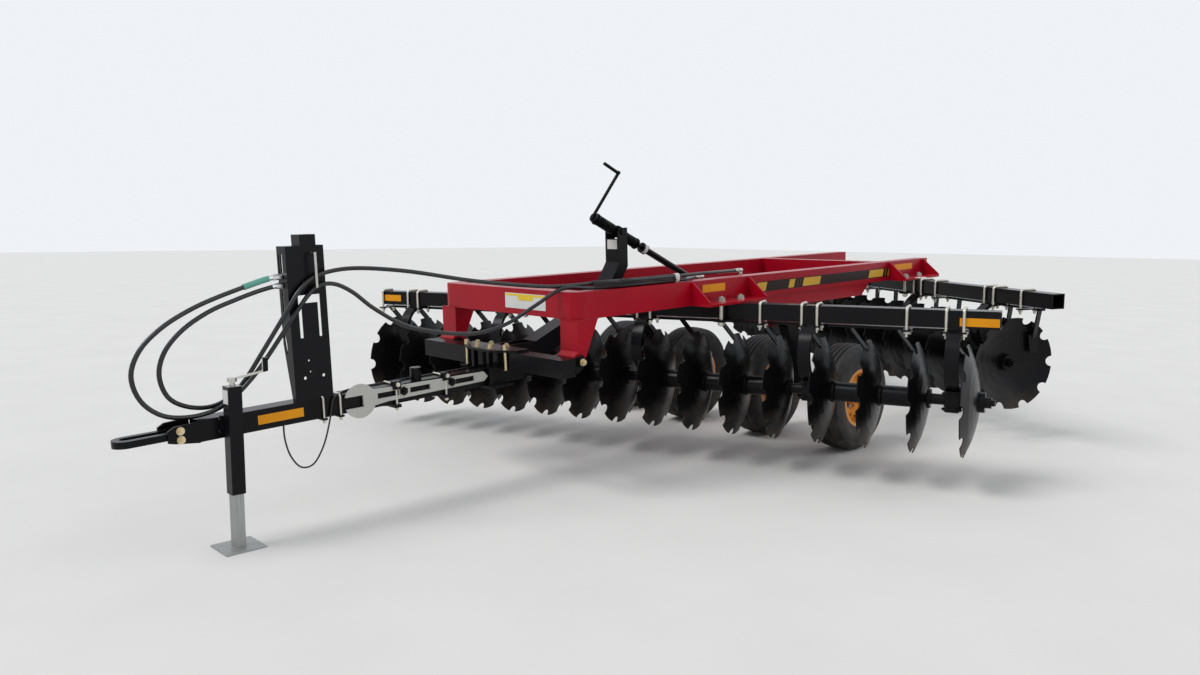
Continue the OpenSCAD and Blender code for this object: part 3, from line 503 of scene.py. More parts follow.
def partly_bare(name, bare, limits):
    """Black paint that gives way to bare or plated metal within limits: (axis, from, to), all of them."""
    color = (0.004, 0.004, 0.005)
    material, tree, shader = node_tree(name, color, 0.28, specular=0.15)
    inside = None
    for axis, low, high in limits:
        part = ramp(tree, axis_of(tree, "ShaderNodeTexCoord", "Object", axis), low, high)
        inside = product(tree, inside, part) if inside else part
    speckle = product(tree, ramp(tree, noise(tree, 50.0, 5.0), 0.45, 0.75), 0.35)
    metal_color = mixed(tree, speckle, bare, tuple(c * 0.45 for c in bare))
    give(tree, mixed(tree, inside, color, metal_color), shader.inputs["Base Color"])
    give(tree, inside, shader.inputs["Metallic"])
    bump(tree, shader, noise(tree, 200.0, 2.0), 0.0003, 0.25)
    return material


def disc_finish(name):
    """Black dipped paint, worn thin and brown with soil towards the cutting edge."""
    material, tree, shader = node_tree(name, (0.004, 0.004, 0.005), 0.3, specular=0.14)
    low = ramp(tree, axis_of(tree, "ShaderNodeTexCoord", "Object"), 0.42, 0.12)
    patches = ramp(tree, noise(tree, 7.0, 8.0), 0.40, 0.66)
    soil = product(tree, product(tree, low, patches), 0.42)
    fine = product(tree, ramp(tree, noise(tree, 70.0, 6.0), 0.55, 0.75), 0.03)
    dirt = product(tree, soil, fine, "ADD")
    drift = ramp(tree, noise(tree, 4.0, 4.0), 0.3, 0.7)
    base = mixed(tree, drift, (0.003, 0.003, 0.004), (0.007, 0.007, 0.007))
    give(tree, mixed(tree, dirt, base, (0.17, 0.125, 0.085)), shader.inputs["Base Color"])
    give(tree, ramp(tree, dirt, 0.0, 1.0, 0.26, 0.95), shader.inputs["Roughness"])
    bump(tree, shader, noise(tree, 120.0, 3.0), 0.0005, 0.3)
    return material


def tyre_rubber(name):
    """Black rubber, greyed with dry soil on the tread."""
    material, tree, shader = node_tree(name, (0.010, 0.010, 0.011), 0.6, specular=0.35)
    patches = ramp(tree, noise(tree, 10.0, 8.0), 0.42, 0.70)
    low = ramp(tree, axis_of(tree, "ShaderNodeTexCoord", "Object"), 0.75, 0.0)
    dirt = product(tree, patches, product(tree, product(tree, low, 0.34), 0.05, "ADD"))
    color = mixed(tree, dirt, (0.009, 0.009, 0.010), (0.16, 0.125, 0.09))
    give(tree, color, shader.inputs["Base Color"])
    bump(tree, shader, noise(tree, 180.0, 4.0), 0.0006, 0.4)
    return material


def hose_rubber(name):
    """Smooth black hose cover with a fine cloth mark and a little dust."""
    material, tree, shader = node_tree(name, (0.008, 0.008, 0.009), 0.24)
    fine = product(tree, ramp(tree, noise(tree, 40.0, 5.0), 0.5, 0.8), 0.15)
    give(tree, mixed(tree, fine, (0.007, 0.007, 0.008), (0.07, 0.06, 0.05)), shader.inputs["Base Color"])
    bump(tree, shader, noise(tree, 400.0, 2.0), 0.0002, 0.3)
    return material


# paints and films: name, two tones, then where they differ roughness, dust, specular level and coat
PAINTS = {
    "red": ("red_gloss_paint", (0.37, 0.002, 0.014), (0.32, 0.002, 0.012), 0.30, 0.08, 0.18),
    "black": ("black_gloss_paint", (0.004, 0.004, 0.005), (0.006, 0.006, 0.007), 0.24, 0.06, 0.13),
    "wrench": ("pale_grey_coating", (0.50, 0.50, 0.47), (0.45, 0.45, 0.42), 0.42, 0.2, 0.3),
    "rim": ("orange_yellow_rim_paint", (0.78, 0.30, 0.020), (0.70, 0.25, 0.018), 0.35, 0.3, 0.5, 0.15),
    "amber": ("amber_reflector_film", (0.78, 0.31, 0.003), (0.70, 0.27, 0.003)),
    "gold_stripe": ("gold_stripe_film", (0.70, 0.40, 0.05), (0.64, 0.36, 0.04)),
    "dark_band": ("dark_band_film", (0.016, 0.005, 0.005), (0.020, 0.006, 0.006), 0.35, 0.06, 0.18),
    "white_label": ("blank_white_label", (0.70, 0.70, 0.68), (0.64, 0.64, 0.62), 0.4, 0.15, 0.5),
    "yellow_label": ("blank_yellow_label", (0.80, 0.58, 0.03), (0.75, 0.54, 0.03)),
    "green": ("green_handle_sleeve", (0.10, 0.36, 0.28), (0.09, 0.31, 0.25), 0.4, 0.15, 0.5, 0.15),
}
METALS = {
    "zinc": ("galvanised_steel", (0.60, 0.58, 0.52), 0.38),
    "jack_leg": ("dull_zinc_tube", (0.36, 0.37, 0.36), 0.45, (1, 1, 0.05)),
    "steel": ("bare_bright_steel", (0.62, 0.62, 0.63), 0.24),
    "gold": ("yellow_passivated_bolt", (0.70, 0.58, 0.36), 0.30),
    "grey_bolt": ("dull_grey_bolt", (0.42, 0.41, 0.38), 0.40),
}
PARTLY_BARE = {
    "elbow": ("cylinder_paint_and_plated_elbows", (0.60, 0.60, 0.58), [("Z", 1.168, 1.172)]),
    "hook": ("holder_paint_and_plated_hook", (0.55, 0.55, 0.52), [("X", 0.0225, 0.0235)]),
    "crank": ("jack_paint_and_plated_crank", (0.58, 0.57, 0.53),
              [("Z", 0.771, 0.773), ("Y", JACK_KNOB_Y + 0.001, JACK_KNOB_Y)]),
}
FINISH = {}


def make_finishes():
    for make, table in ((painted, PAINTS), (metal, METALS), (partly_bare, PARTLY_BARE)):
        for key, row in table.items():
            FINISH[key] = make(*row)
    FINISH["disc"] = disc_finish("dipped_disc_paint")
    FINISH["tyre"] = tyre_rubber("ribbed_tyre_rubber")
    FINISH["hose"] = hose_rubber("hydraulic_hose_cover")


# the nodes that take each finish
NODE_FINISH = {
    "red": ("left_rail", "right_rail", "front_cross", "rear_cross", "mid_cross", "hitch_legs",
            "rail_doublers", "gang_pockets"),
    "black": ("front_beam", "rear_beam", "front_hangers", "rear_hangers", "front_scrapers", "rear_scrapers",
              "front_spools", "rear_spools", "rockshaft", "wheel_arms", "tongue", "hitch_loop",
              "hitch_crossbeam", "mast", "level_tube", "level_screw", "level_springs"),
    "disc": ("front_discs", "rear_discs"),
    "rim": ("rim_1", "rim_2", "rim_3", "rim_4"),
    "tyre": ("tyre_1", "tyre_2", "tyre_3", "tyre_4"),
    "hose": ("hose_long", "hose_short", "light_cable"),
    "hook": ("hose_holder",), "wrench": ("wrench",), "crank": ("jack_body",), "jack_leg": ("jack_leg",),
    "elbow": ("cylinder_barrel",), "steel": ("cylinder_rod",),
}


# Settings kept on the scene and read by the steps

def length(name, description, default, low, high):
    return FloatProperty(name=name, description=description, default=default, min=low, max=high,
                         unit="LENGTH")


class HarrowSizes(bpy.types.PropertyGroup):
    hose_diameter: length("Hose", "Outside diameter of a hydraulic hose", 0.022, 0.01, 0.04)
    cable_diameter: length("Cable", "Outside diameter of the light cable", 0.009, 0.004, 0.02)
    clamp_rod: length("Clamp rod", "Diameter of a U-bolt's rod", 0.017, 0.01, 0.025)
    tyre_ribs: IntProperty(name="Tyre ribs", description="Ribs across the tread", default=5, min=3, max=7)
    groove_width: length("Groove width", "Width of a groove between ribs", 0.011, 0.004, 0.016)
    groove_depth: length("Groove depth", "Depth of a groove between ribs", 0.010, 0.003, 0.015)


class StageSettings(bpy.types.PropertyGroup):
    floor_color: FloatVectorProperty(name="Floor", description="Colour of the floor", subtype="COLOR", size=3,
                                     default=(0.78, 0.77, 0.75), min=0, max=1)
    sky_strength: FloatProperty(name="Sky", description="Strength of the soft light from all around",
                                default=0.55, min=0, max=2)


class HARROW_OT_finishes(bpy.types.Operator):
    """Gives every solid of the frame its finish"""
    bl_idname = "harrow.finishes"
    bl_label = "Finishes"

    def execute(self, context):
        make_finishes()
        for finish, names in NODE_FINISH.items():
            for name in names:
                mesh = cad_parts[name].data
                mesh.materials.clear()
                mesh.materials.append(FINISH[finish])
        return {"FINISHED"}


class HARROW_OT_camera_and_stage(bpy.types.Operator):
    """Sets the camera at the photo's place, with a pale floor and soft light"""
    bl_idname = "harrow.camera_and_stage"
    bl_label = "Camera and stage"

    def execute(self, context):
        yaw, pitch, roll = [radians(v) for v in (45.41, -6.74, -0.35)]
        across = cos(pitch)
        forward = Vector((-sin(yaw) * across, cos(yaw) * across, sin(pitch)))
        right = Vector((cos(yaw), sin(yaw), 0))
        up = right.cross(forward)
        turned_right = right * cos(roll) - up * sin(roll)
        turned_up = right * sin(roll) + up * cos(roll)
        sensor, photo_width, focal_pixels = 36, 1200, 896.7
        camera_data = bpy.data.cameras.new("camera")
        camera_data.sensor_width = sensor
        camera_data.lens = focal_pixels * sensor / photo_width
        camera_data.clip_end = 200
        camera = bpy.data.objects.new("camera", camera_data)
        place = Matrix((turned_right, turned_up, -forward)).transposed().to_4x4()
        place.translation = SHIFT @ Vector((4.214, -3.357, 1.491))
        camera.matrix_world = place
        context.scene.collection.objects.link(camera)
        context.scene.camera = camera
        settings = context.scene.harrow_stage
        floor = tuple(settings.floor_color)
        material, tree, shader = node_tree("pale_floor", floor, 0.85)
        cloudy = ramp(tree, noise(tree, 1.5, 6.0), 0.3, 0.7)
        darker = tuple(c * 0.96 for c in floor)
        give(tree, mixed(tree, cloudy, floor, darker), shader.inputs["Base Color"])
        bm = bmesh.new()
        add_box(bm, (-60, -60, -0.05), (60, 60, 0.0))
        shown("floor", mesh_of("floor", bm, material), 0)
        world = bpy.data.worlds.new("soft_sky")
        context.scene.world = world
        world.use_nodes = True
        tree = world.node_tree
        nodes, links = tree.nodes, tree.links
        background = nodes["Background"]
        background.inputs["Color"].default_value = (0.93, 0.96, 1.0, 1)
        background.inputs["Strength"].default_value = settings.sky_strength
        seen = nodes.new("ShaderNodeBackground")
        seen.inputs["Color"].default_value = (0.86, 0.89, 0.93, 1)
        path = nodes.new("ShaderNodeLightPath")
        # what the camera and mirrors see is a paler sky than the one that lights the scene
        pale = path.outputs["Is Camera Ray"]
        for ray in ("Is Glossy Ray", "Is Transmission Ray"):
            pale = product(tree, pale, path.outputs[ray], "MAXIMUM")
        mix = nodes.new("ShaderNodeMixShader")
        for giver, taker in zip((pale, background.outputs[0], seen.outputs[0]), mix.inputs):
            links.new(giver, taker)
        links.new(mix.outputs[0], nodes["World Output"].inputs[0])
        for name, energy, angle, turn in (("high_sun", 1.5, 25, (38, 8, -35)),
                                          ("fill_sun", 0.5, 60, (60, 0, 120))):
            lamp = bpy.data.lights.new(name, "SUN")
            lamp.energy = energy
            lamp.angle = radians(angle)
            holder = bpy.data.objects.new(name, lamp)
            holder.rotation_euler = [radians(v) for v in turn]
            context.scene.collection.objects.link(holder)
        context.scene.view_settings.view_transform = "Standard"
        return {"FINISHED"}


class HARROW_OT_hoses(bpy.types.Operator):
    """Lays the two hydraulic hoses and the light cable along their routes"""
    bl_idname = "harrow.hoses"
    bl_label = "Hoses and cable"

    def execute(self, context):
        sizes = context.scene.harrow_sizes
        for name, node, points, diameter, stiffness in (
                ("long_hose", "hose_long", HOSE_LONG, sizes.hose_diameter, "stiff"),
                ("short_hose", "hose_short", HOSE_SHORT, sizes.hose_diameter, "stiff"),
                ("tail_cable", "light_cable", LIGHT_CABLE, sizes.cable_diameter, "medium")):
            path = cord_line(points)
            bm = bmesh.new()
            add_tube(bm, path, diameter / 2, 14)
            piece = shown(name, mesh_of(name, bm, FINISH["hose"]), 50)
            if stiffness == "stiff":
                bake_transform(piece)
            else:
                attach(piece, "hitch")
            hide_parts(node)
        return {"FINISHED"}


class HARROW_OT_hose_fittings(bpy.types.Operator):
    """Adds couplings, the green sleeve, ferrules, the spiral guard and its white tie"""
    bl_idname = "harrow.hose_fittings"
    bl_label = "Hose fittings and guard"

    def execute(self, context):
        steel, green, ferrules = bmesh.new(), bmesh.new(), bmesh.new()
        for points, coupling in ((HOSE_LONG, 0.050), (HOSE_SHORT, 0.036)):
            path = cord_line(points)
            end = length_of(path)
            # a hexagon, then a round collar, at the coupling; a sleeve and a hexagon at the cylinder
            for bm, start, stop, radius, sides in (
                    (steel, 0.004, coupling, 0.0145, 6), (steel, coupling, coupling + 0.020, 0.0125, 16),
                    (ferrules, end - 0.050, end - 0.001, 0.0130, 16),
                    (ferrules, end - 0.014, end - 0.0005, 0.0160, 6)):
                add_tube(bm, stretch_of(path, start, stop), radius, sides)
        add_tube(green, stretch_of(cord_line(HOSE_LONG), 0.070, 0.200), 0.0150, 16)
        add_piece("couplings", steel, "steel", "hitch")
        add_piece("green_sleeve", green, "green", "hitch")
        add_piece("ferrules", ferrules, "zinc", "frame")
        middle = route([(577, 170, 1189), (594, 300, 1192), (596, 420, 1194.5), (596.5, 660, 1202),
                        (596.5, 900, 1209.8)])
        spiral = bmesh.new()
        add_wrap(spiral, curved(middle, 8), 0.0130, 0.0255, 0.013, 0.0026)
        add_piece("spiral_guard", spiral, "hose", "frame", 60)
        tie = bmesh.new()
        add_wrap(tie, route([(596.5, 850, 1208.3), (596.5, 884, 1209.3)]), 0.0150, 0.0275, 0.0045, 0.0026)
        add_piece("white_tie", tie, "white_label", "frame", 60)
        return {"FINISHED"}


class HARROW_OT_tyres(bpy.types.Operator):
    """Builds the four ribbed implement tyres with their shoulder notches"""
    bl_idname = "harrow.tyres"
    bl_label = "Ribbed tyres"

    def execute(self, context):
        sizes = context.scene.harrow_sizes
        outer, skin, half, crown = 0.368, 0.0005, 0.086, 0.9
        ribs, depth, groove = sizes.tyre_ribs, sizes.groove_depth, sizes.groove_width / 2
        # tread from one shoulder to the other, which falls a little away from the middle
        tread = []
        for k in range(ribs):
            left = -half + 2 * half * k / ribs
            right = -half + 2 * half * (k + 1) / ribs
            for across in (left + (groove if k else 0), right - (groove if k < ribs - 1 else 0)):
                tread.append((across, outer - skin - crown * across * across))
            if k < ribs - 1:
                floor = outer - depth - crown * right * right
                tread += [(right - groove * 0.6, floor), (right + groove * 0.6, floor)]
        side = [(0.0885, 0.192), (0.100, 0.200), (0.104, 0.208), (0.107, 0.222), (0.112, 0.236),
                (0.1165, 0.262), (0.1175, 0.285), (0.1165, 0.306), (0.113, 0.320), (0.1145, 0.323),
                (0.1140, 0.327), (0.110, 0.332), (0.104, 0.342), (0.0975, 0.350), (0.092, 0.3575)]
        outline = [(-a, r) for a, r in side] + tread + [(a, r) for a, r in reversed(side)]
        outline += [(0.078, 0.189), (-0.078, 0.189)]
        steps, notch_every, notch_depth, notch_from, tread_edge = 120, 4, 0.006, 0.328, 0.088
        shoulder = [k for k, (across, radius) in enumerate(outline)
                    if radius > notch_from and abs(across) > tread_edge]
        for number, (body, x) in enumerate(WHEELS.items(), 1):
            place = on_axle(x)
            bm = bmesh.new()
            add_lathe(bm, outline, steps, place)
            bm.verts.ensure_lookup_table()
            inverse = place.inverted()
            for i in range(0, steps, notch_every):
                for k in shoulder:
                    v = bm.verts[i * len(outline) + k]
                    local = inverse @ v.co
                    outwards = Vector((local.x, local.y, 0)).normalized()
                    v.co = place @ (local - outwards * notch_depth)
            bmesh.ops.recalc_face_normals(bm, faces=bm.faces)
            piece = add_piece("tyre_ribbed_%d" % number, bm, "tyre", body, 28)
            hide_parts("tyre_%d" % number)
        return {"FINISHED"}


class HARROW_OT_wheel_fittings(bpy.types.Operator):
    """Adds the wheel bolts, hub caps and valves"""
    bl_idname = "harrow.wheel_fittings"
    bl_label = "Wheel bolts and caps"

    def execute(self, context):
        cap = [(0.082, 0.0), (0.082, 0.030), (0.086, 0.036), (0.094, 0.036), (0.102, 0.030), (0.106, 0.018),
               (0.107, 0.0)]
        bolt_circle, hub_face = 0.070, 0.0245
        for number, (body, x) in enumerate(WHEELS.items(), 1):
            base = on_axle(x, 1 if number in (1, 3) else -1)
            bolts = [base @ Matrix.Rotation(radians(30 + 60 * i), 4, "Z")
                     @ Matrix.Translation((bolt_circle, 0, hub_face)) for i in range(6)]
            add_bolts("wheel_bolts_%d" % number, 0.024, 0.008, bolts, "grey_bolt", body)
            bm = bmesh.new()
            add_lathe(bm, cap, 24, base)
            bmesh.ops.remove_doubles(bm, verts=bm.verts, dist=0.00001)
            bmesh.ops.recalc_face_normals(bm, faces=bm.faces)
            add_piece("hub_cap_%d" % number, bm, "black", body)
            bm = bmesh.new()
            stem = placed(base @ Matrix.Rotation(radians(20), 4, "Z"),
                          (0.150, 0, 0.020), (0.156, 0, 0.045), (0.160, 0, 0.075))
            add_tube(bm, curved(stem, 4), 0.0045, 10)
            add_piece("valve_%d" % number, bm, "hose", body)
        return {"FINISHED"}


class HARROW_OT_beam_clamps(bpy.types.Operator):
    """Clamps hangers and scraper bars to the gang beams with U-bolts"""
    bl_idname = "harrow.beam_clamps"
    bl_label = "U-bolts on the beams"

    def execute(self, context):
        rod = context.scene.harrow_sizes.clamp_rod / 2
        half = BEAM / 2 + rod + 0.0008
        low, bend, quarter, nut, from_middle = -BEAM / 2 - 0.062, 0.018, pi / 2, 0.014, 0.0475
        plate_low, plate_top = -BEAM / 2 - 0.030, -BEAM / 2 - 0.0205
        line = [(0, -half, low), (0, -half, half - bend)]
        for i in range(1, 5):
            a = quarter * i / 4
            line.append((0, -half + bend * (1 - cos(a)), half - bend + bend * sin(a)))
        for i in range(5):
            a = quarter * i / 4
            line.append((0, half - bend + bend * sin(a), half - bend + bend * cos(a)))
        line.append((0, half, low))
        bolt, plate, pair_plate = bmesh.new(), bmesh.new(), bmesh.new()
        add_tube(bolt, line, rod, 10)
        for side in (-half, half):
            add_rod(bolt, (0, side, plate_low - nut), (0, side, plate_low), rod * 1.95, 6)
            add_box(pair_plate, (-0.066, side - 0.018, plate_low), (0.066, side + 0.018, plate_top),
                    bevel=0.002)
        add_box(plate, (-0.024, -half - 0.020, plate_low), (0.024, half + 0.020, plate_top), bevel=0.002)
        units = [mesh_of(label, bm, FINISH[finish]) for label, bm, finish in (
            ("clamp", bolt, "zinc"), ("clamp_plate", plate, "black"),
            ("hanger_clamp_plate", pair_plate, "black"))]
        for name, gang, x1, single in GANGS:
            hangers = [x1 - gap * DISC_PITCH for gap in HANGER_GAPS]
            pairs = [x + d for x in hangers for d in (-from_middle, from_middle)]
            for label, unit, spots, finish in (
                    ("clamps", units[0], pairs + list(single), "zinc"),
                    ("clamp_plates", units[1], single, "black"),
                    ("hanger_clamp_plates", units[2], hangers, "black")):
                places = [gang @ Matrix.Translation((x, 0, BEAM_Z)) for x in spots]
                repeated(name + "_" + label, unit, places, finish, "frame")
        return {"FINISHED"}


class HARROW_OT_frame_bolts(bpy.types.Operator):
    """Bolts the gang pockets, bearings and hangers"""
    bl_idname = "harrow.frame_bolts"
    bl_label = "Frame bolts"

    def execute(self, context):
        heads, straps, shanks = [], bmesh.new(), bmesh.new()
        under, flange, strap, shank, nut = RAIL_Z - BEAM, 0.014, 0.016, 0.0125, 0.023
        for x in (-0.700, 0.700):
            for centre, before, behind in ((FRONT_Y + x * tan(FRONT_ANGLE), -0.113, 0.087),
                                           (REAR_Y - x * tan(REAR_ANGLE), -0.117, 0.113)):
                for y, low in ((centre + before, under - 0.044), (centre + behind, under - strap)):
                    heads.append(FRAME @ Matrix.Translation((x, y, RAIL_Z + flange)))
                    add_rod(shanks, (x, y, RAIL_Z), (x, y, low), shank, place=FRAME)
                y = centre + before
                add_rod(shanks, (x, y, under - 0.036), (x, y, under - strap), nut, 6, FRAME)
                add_box(straps, (x - 0.036, y - 0.034, under - strap),
                        (x + 0.036, centre + behind + 0.034, under - 0.0005), FRAME, 0.002)
        add_bolts("pocket_bolts", 0.042, 0.008, heads, "grey_bolt", "frame")
        add_piece("pocket_bolt_shanks", shanks, "zinc", "frame")
        add_piece("pocket_straps", straps, "black", "frame")
        bearings = []
        for _, gang, x1, _ in GANGS:
            for gap in HANGER_GAPS:
                x = x1 - gap * DISC_PITCH
                bearings += [gang @ facing((x + side * 0.038, dy, AXIS_Z + dz), (side, 0, 0))
                             for side in (-1, 1) for dy in (-0.050, 0.050) for dz in (-0.046, 0.046)]
                bearings += [gang @ facing((x + dx, -0.066, AXIS_Z + dz), (0, -1, 0))
                             for dx in (-0.020, 0.020) for dz in (-0.040, 0.040)]
        add_bolts("bearing_bolts", 0.019, 0.006, bearings, "black", "frame")
        return {"FINISHED"}


class HARROW_OT_hitch_fittings(bpy.types.Operator):
    """Bolts the hitch plates, clamps the tongue's fittings and bolts the loop's clevis"""
    bl_idname = "harrow.hitch_fittings"
    bl_label = "Hitch bolts and tongue clamps"

    def execute(self, context):
        top = [HITCH @ Matrix.Translation((x, y, 0.040)) for x, y in (
            (-0.165, -0.120), (-0.060, -0.200), (-0.050, -0.105), (0.060, -0.200), (0.095, -0.105))]
        ends = [HITCH @ facing((s * 0.669, -0.032, 0), (s, 0, 0)) for s in (-1, 1)]
        add_bolts("hitch_plate_bolts", 0.028, 0.005, top + ends, "gold", "hitch")
        gold, plate, zinc, black = bmesh.new(), bmesh.new(), bmesh.new(), bmesh.new()
        bolt_y, nut = -0.186, 0.014
        for x in (-0.185, 0.185):
            add_rod(gold, (x, bolt_y, -0.090), (x, bolt_y, 0.072), 0.009, place=HITCH)
            for z in (0.041, 0.056, -0.088):
                add_rod(gold, (x, bolt_y, z), (x, bolt_y, z + nut), 0.016, 6, HITCH)
            add_box(plate, (x - 0.03, -0.212, -0.088), (x + 0.03, -0.075, -0.0765), HITCH, 0.002)
        # U-bolts round the tongue: over its top and down both sides, with a bar and nuts underneath
        half, bend, top_z, low_z, bar_top, rod = 0.0585, 0.010, -0.0690, -0.205, -0.1785, 0.006
        for y, whole in ((-1.263, True), (-1.170, True), (-0.845, False), (-0.525, False)):
            line = [(-half, y, low_z), (-half, y, top_z - bend), (-half + bend, y, top_z),
                    (half - bend, y, top_z)]
            if whole:
                line += [(half, y, top_z - bend), (half, y, low_z)]
                add_box(black, (-0.072, y - 0.014, -0.188), (0.072, y + 0.014, bar_top), HITCH, 0.002)
                nuts = [(x, -0.199, -0.189) for x in (-half, half)]
            else:
                # beside the wrench the far end turns out through a block, next to a straight bolt
                line.append((half + 0.022, y, top_z))
                add_box(black, (0.0515, y - 0.024, -0.096), (0.082, y + 0.024, -0.050), HITCH, 0.003)
                add_box(black, (-0.068, y - 0.020, -0.196), (0.082, y + 0.020, bar_top), HITCH, 0.002)
                add_rod(zinc, (0.083, y, top_z), (0.092, y, top_z), 0.013, 6, HITCH)
                add_rod(zinc, (0.068, y, -0.212), (0.068, y, -0.060), rod, place=HITCH)
                nuts = [(x, -0.208, -0.197) for x in (-half, 0.068)]
            add_tube(zinc, placed(HITCH, *line), rod, 10)
            for x, low, high in nuts:
                add_rod(zinc, (x, y, low), (x, y, high), 0.011, 6, HITCH)
        # hexagon and round end of the wrench's two posts, then the jack's four bolts
        pin_z = -0.112
        for y in (-0.803, -0.490):
            add_rod(black, (0.0715, y, pin_z), (0.083, y, pin_z), 0.024, 6, HITCH)
            add_rod(black, (0.083, y, pin_z), (0.094, y, pin_z), 0.012, 16, HITCH)
        for y in (JACK_Y - 0.036, JACK_Y + 0.036):
            for z in (0.556, 0.616):
                add_rod(zinc, (0.034, y, z), (0.054, y, z), 0.012, 6, SHIFT)
        bmesh.ops.recalc_face_normals(black, faces=black.faces)
        add_piece("long_hitch_bolts", gold, "gold", "hitch")
        add_piece("tongue_clamps", zinc, "zinc", "hitch")
        add_piece("tongue_clamp_plates", black, "black", "hitch")
        add_piece("long_bolt_plates", plate, "black", "hitch")
        clevis = [HITCH @ facing((s * 0.070, -1.965, z), (s, 0, 0))
                  for s in (-1, 1) for z in (-0.146, -0.105)]
        add_bolts("clevis_bolts", 0.026, 0.006, clevis, "gold", "hitch")
        return {"FINISHED"}


class HARROW_OT_springs(bpy.types.Operator):
    """Winds the two coil springs of the levelling screw"""
    bl_idname = "harrow.springs"
    bl_label = "Coil springs"

    def execute(self, context):
        bm = bmesh.new()
        wire, radius, length, turns, steps = 0.0062, 0.0300, 0.154, 8, 18
        seat, bore, rim = 0.006, 0.0150, 0.0230
        for low in (SCREW_LENGTH - 0.1932, SCREW_LENGTH + 0.0388):
            line = []
            for i in range(turns * steps + 1):
                a = 2 * pi * i / steps
                line.append((radius * cos(a), radius * sin(a), low + length * i / (turns * steps)))
            add_tube(bm, placed(SCREW, *line), wire, 8)
            start, end = low - seat, low + length + seat
            add_lathe(bm, [(start, bore), (start, rim), (end, rim), (end, bore)], 24, SCREW)
        bmesh.ops.recalc_face_normals(bm, faces=bm.faces)
        piece = add_piece("coil_springs", bm, "black", "level_screw", 40)
        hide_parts("level_springs")
        return {"FINISHED"}


class HARROW_OT_films(bpy.types.Operator):
    """Lays the reflectors, stripes and blank labels on the paint"""
    bl_idname = "harrow.films"
    bl_label = "Reflectors, stripes, blank labels"

    def execute(self, context):
        film, face = 0.0012, HALF_WIDTH
        rails, tongue, band, bars, white, yellow, small, collar = [bmesh.new() for _ in range(8)]
        for x, spans in ((face, ((1.076, 1.306), (3.573, 3.878))), (-face, ((0.699, 0.929), (4.307, 4.612)))):
            for y0, y1 in spans:
                add_box(rails, (x - film, y0, 1.078), (x + film, y1, 1.127), FRAME)
        for x0, x1, drop in ((2.115, 2.325, 0.014), (-2.105, -1.945, 0.0)):
            z = BEAM_Z - drop
            add_box(rails, (x0, -BEAM / 2 - film, z - 0.024), (x1, -BEAM / 2 + film, z + 0.024), FRONT_GANG)
        for x in (-0.051, 0.051):
            add_box(tongue, (x - film, -1.600, -0.150), (x + film, -1.367, -0.105), HITCH)
        # stripe along each rail: a dark band with plain gold bars, blank between them
        low, high, lean, edge = 1.037, 1.108, 0.022, 0.006
        for s in (-1, 1):
            layers = [FRAME @ Matrix.Translation((s * face + (layer * s - 1) * film / 2, 0, 0)) @ ALONG_RAIL
                      for layer in (1, 3)]
            add_prism(band, [(1.604, low), (1.604 + lean, high), (3.552, high), (3.552 - lean, low)], film,
                      layers[0])
            for y0, y1 in ((1.640, 1.768), (2.029, 2.111), (2.136, 2.152), (2.172, 2.188), (2.208, 2.449),
                           (3.147, 3.386), (3.408, 3.428), (3.450, 3.530)):
                add_prism(bars, [(y0, low + edge), (y0 + lean, high - edge), (y1 + lean * 0.3, high - edge),
                                 (y1 - lean * 0.7, low + edge)], film, layers[1])
        add_box(white, (0.003, -film, 1.038), (0.368, film, 1.128), FRAME)
        add_box(yellow, (0.010, -2 * film, 1.112), (0.361, film, 1.124), FRAME)
        add_box(yellow, (0.124, -2 * film, 1.088), (0.258, film, 1.113), FRAME)
        holder_y, jack_y = 0.8955, JACK_Y - 0.032
        add_box(small, (-0.045, holder_y - film, 0.560), (0.045, holder_y + film, 0.622), HITCH)
        add_box(small, (JACK_X - 0.026, jack_y - film, 0.690), (JACK_X + 0.026, jack_y + film, 0.755), SHIFT)
        add_patch(collar, 0.0366, SCREW_LENGTH - 0.306, SCREW_LENGTH - 0.276, -70, 60, SCREW)
        for name, bm, finish, body in (
                ("amber_reflectors", rails, "amber", "frame"),
                ("tongue_reflectors", tongue, "amber", "hitch"),
                ("stripe_bands", band, "dark_band", "frame"), ("stripe_bars", bars, "gold_stripe", "frame"),
                ("front_label", white, "white_label", "frame"),
                ("front_label_yellow", yellow, "yellow_label", "frame"),
                ("small_labels", small, "white_label", "hitch"),
                ("collar_label", collar, "white_label", "level_tube")):
            add_piece(name, bm, finish, body, 0)
        return {"FINISHED"}


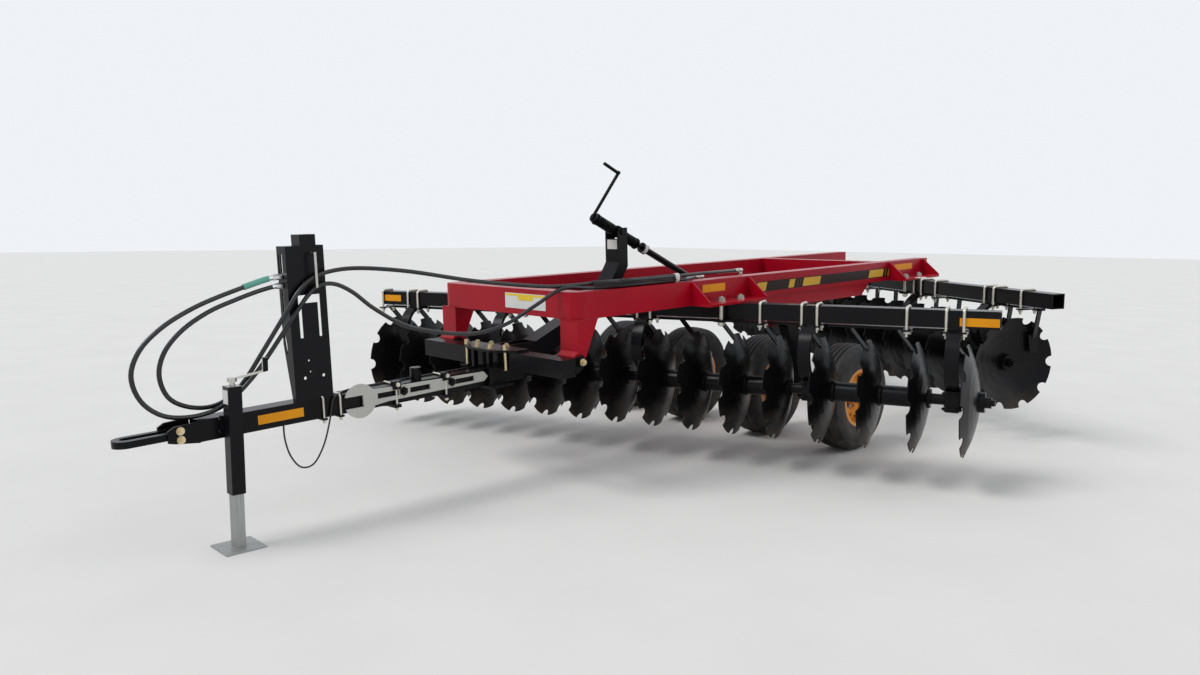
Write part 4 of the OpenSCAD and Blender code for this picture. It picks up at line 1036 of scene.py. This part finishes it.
class HARROW_OT_welds(bpy.types.Operator):
    """Lays weld beads where the frame's plates and tubes meet"""
    bl_idname = "harrow.welds"
    bl_label = "Weld beads"

    def execute(self, context):
        red, black = bmesh.new(), bmesh.new()
        inner, outer, seam, gusset = HALF_WIDTH - 0.140, HALF_WIDTH, 0.538, 0.641
        flange, toe, back_of_cross, thin = RAIL_Z + 0.014, RAIL_TOP - 0.010, -0.073, 0.0035
        for s in (-1, 1):
            for x0, y0, x1, y1 in ((outer, 0.0, outer, 0.150), (inner, -0.008, inner, 0.150),
                                   (inner, -0.010, outer, -0.010)):
                add_bead(red, (s * x0, y0, RAIL_Z), (s * x1, y1, RAIL_Z), FRAME)
            add_bead(red, (s * seam, 1.600, RAIL_Z), (s * seam, 3.190, RAIL_Z), FRAME)
            for y in (3.440 - 0.051, 3.440 + 0.051):
                add_bead(red, (s * seam, y, RAIL_Z), (s * seam, y, RAIL_TOP), FRAME)
            for centre in (FRONT_Y + s * 0.58 * tan(FRONT_ANGLE),
                           REAR_Y - s * 0.69 * tan(REAR_ANGLE)):
                front, back = centre - 0.288, centre + 0.288
                add_bead(red, (s * gusset, front, flange), (s * gusset, back, flange), FRAME)
                for y in (front, back):
                    add_bead(red, (s * gusset, y, flange + 0.002), (s * gusset, y, toe), FRAME)
                    add_bead(red, (s * 0.645, y, flange), (s * 0.786, y, flange), FRAME)
            for x in (s * 0.645, s * 0.657, s * 0.483, s * 0.495):
                add_bead(black, (x, back_of_cross, -0.062), (x, back_of_cross, 0.024), HITCH, thin)
            x = s * 0.064
            add_bead(black, (x, back_of_cross, 0.040), (x, back_of_cross, -0.060), HITCH, thin)
        add_piece("frame_welds", red, "red", "frame", 60)
        add_piece("hitch_welds", black, "black", "hitch", 60)
        return {"FINISHED"}


class HARROW_PT_panel(bpy.types.Panel):
    """Lists the steps that dress the harrow"""
    bl_idname = "HARROW_PT_panel"
    bl_label = "Disc harrow"
    bl_space_type = "VIEW_3D"
    bl_region_type = "UI"
    bl_category = "Harrow"

    def draw(self, context):
        for step in STEPS:
            self.layout.operator(step.bl_idname)


STEPS = (HARROW_OT_finishes, HARROW_OT_camera_and_stage, HARROW_OT_hoses, HARROW_OT_hose_fittings,
         HARROW_OT_tyres, HARROW_OT_wheel_fittings, HARROW_OT_beam_clamps, HARROW_OT_frame_bolts,
         HARROW_OT_hitch_fittings, HARROW_OT_springs, HARROW_OT_films, HARROW_OT_welds)
CLASSES = (HarrowSizes, StageSettings, *STEPS, HARROW_PT_panel)


def register():
    for item in CLASSES:
        bpy.utils.register_class(item)
    bpy.types.Scene.harrow_sizes = PointerProperty(type=HarrowSizes)
    bpy.types.Scene.harrow_stage = PointerProperty(type=StageSettings)


def unregister():
    del bpy.types.Scene.harrow_stage
    del bpy.types.Scene.harrow_sizes
    for item in reversed(CLASSES):
        bpy.utils.unregister_class(item)


def main():
    register()
    for step in STEPS:
        getattr(bpy.ops.harrow, step.bl_idname.split(".")[1])()


if __name__ == "__main__":
    main()
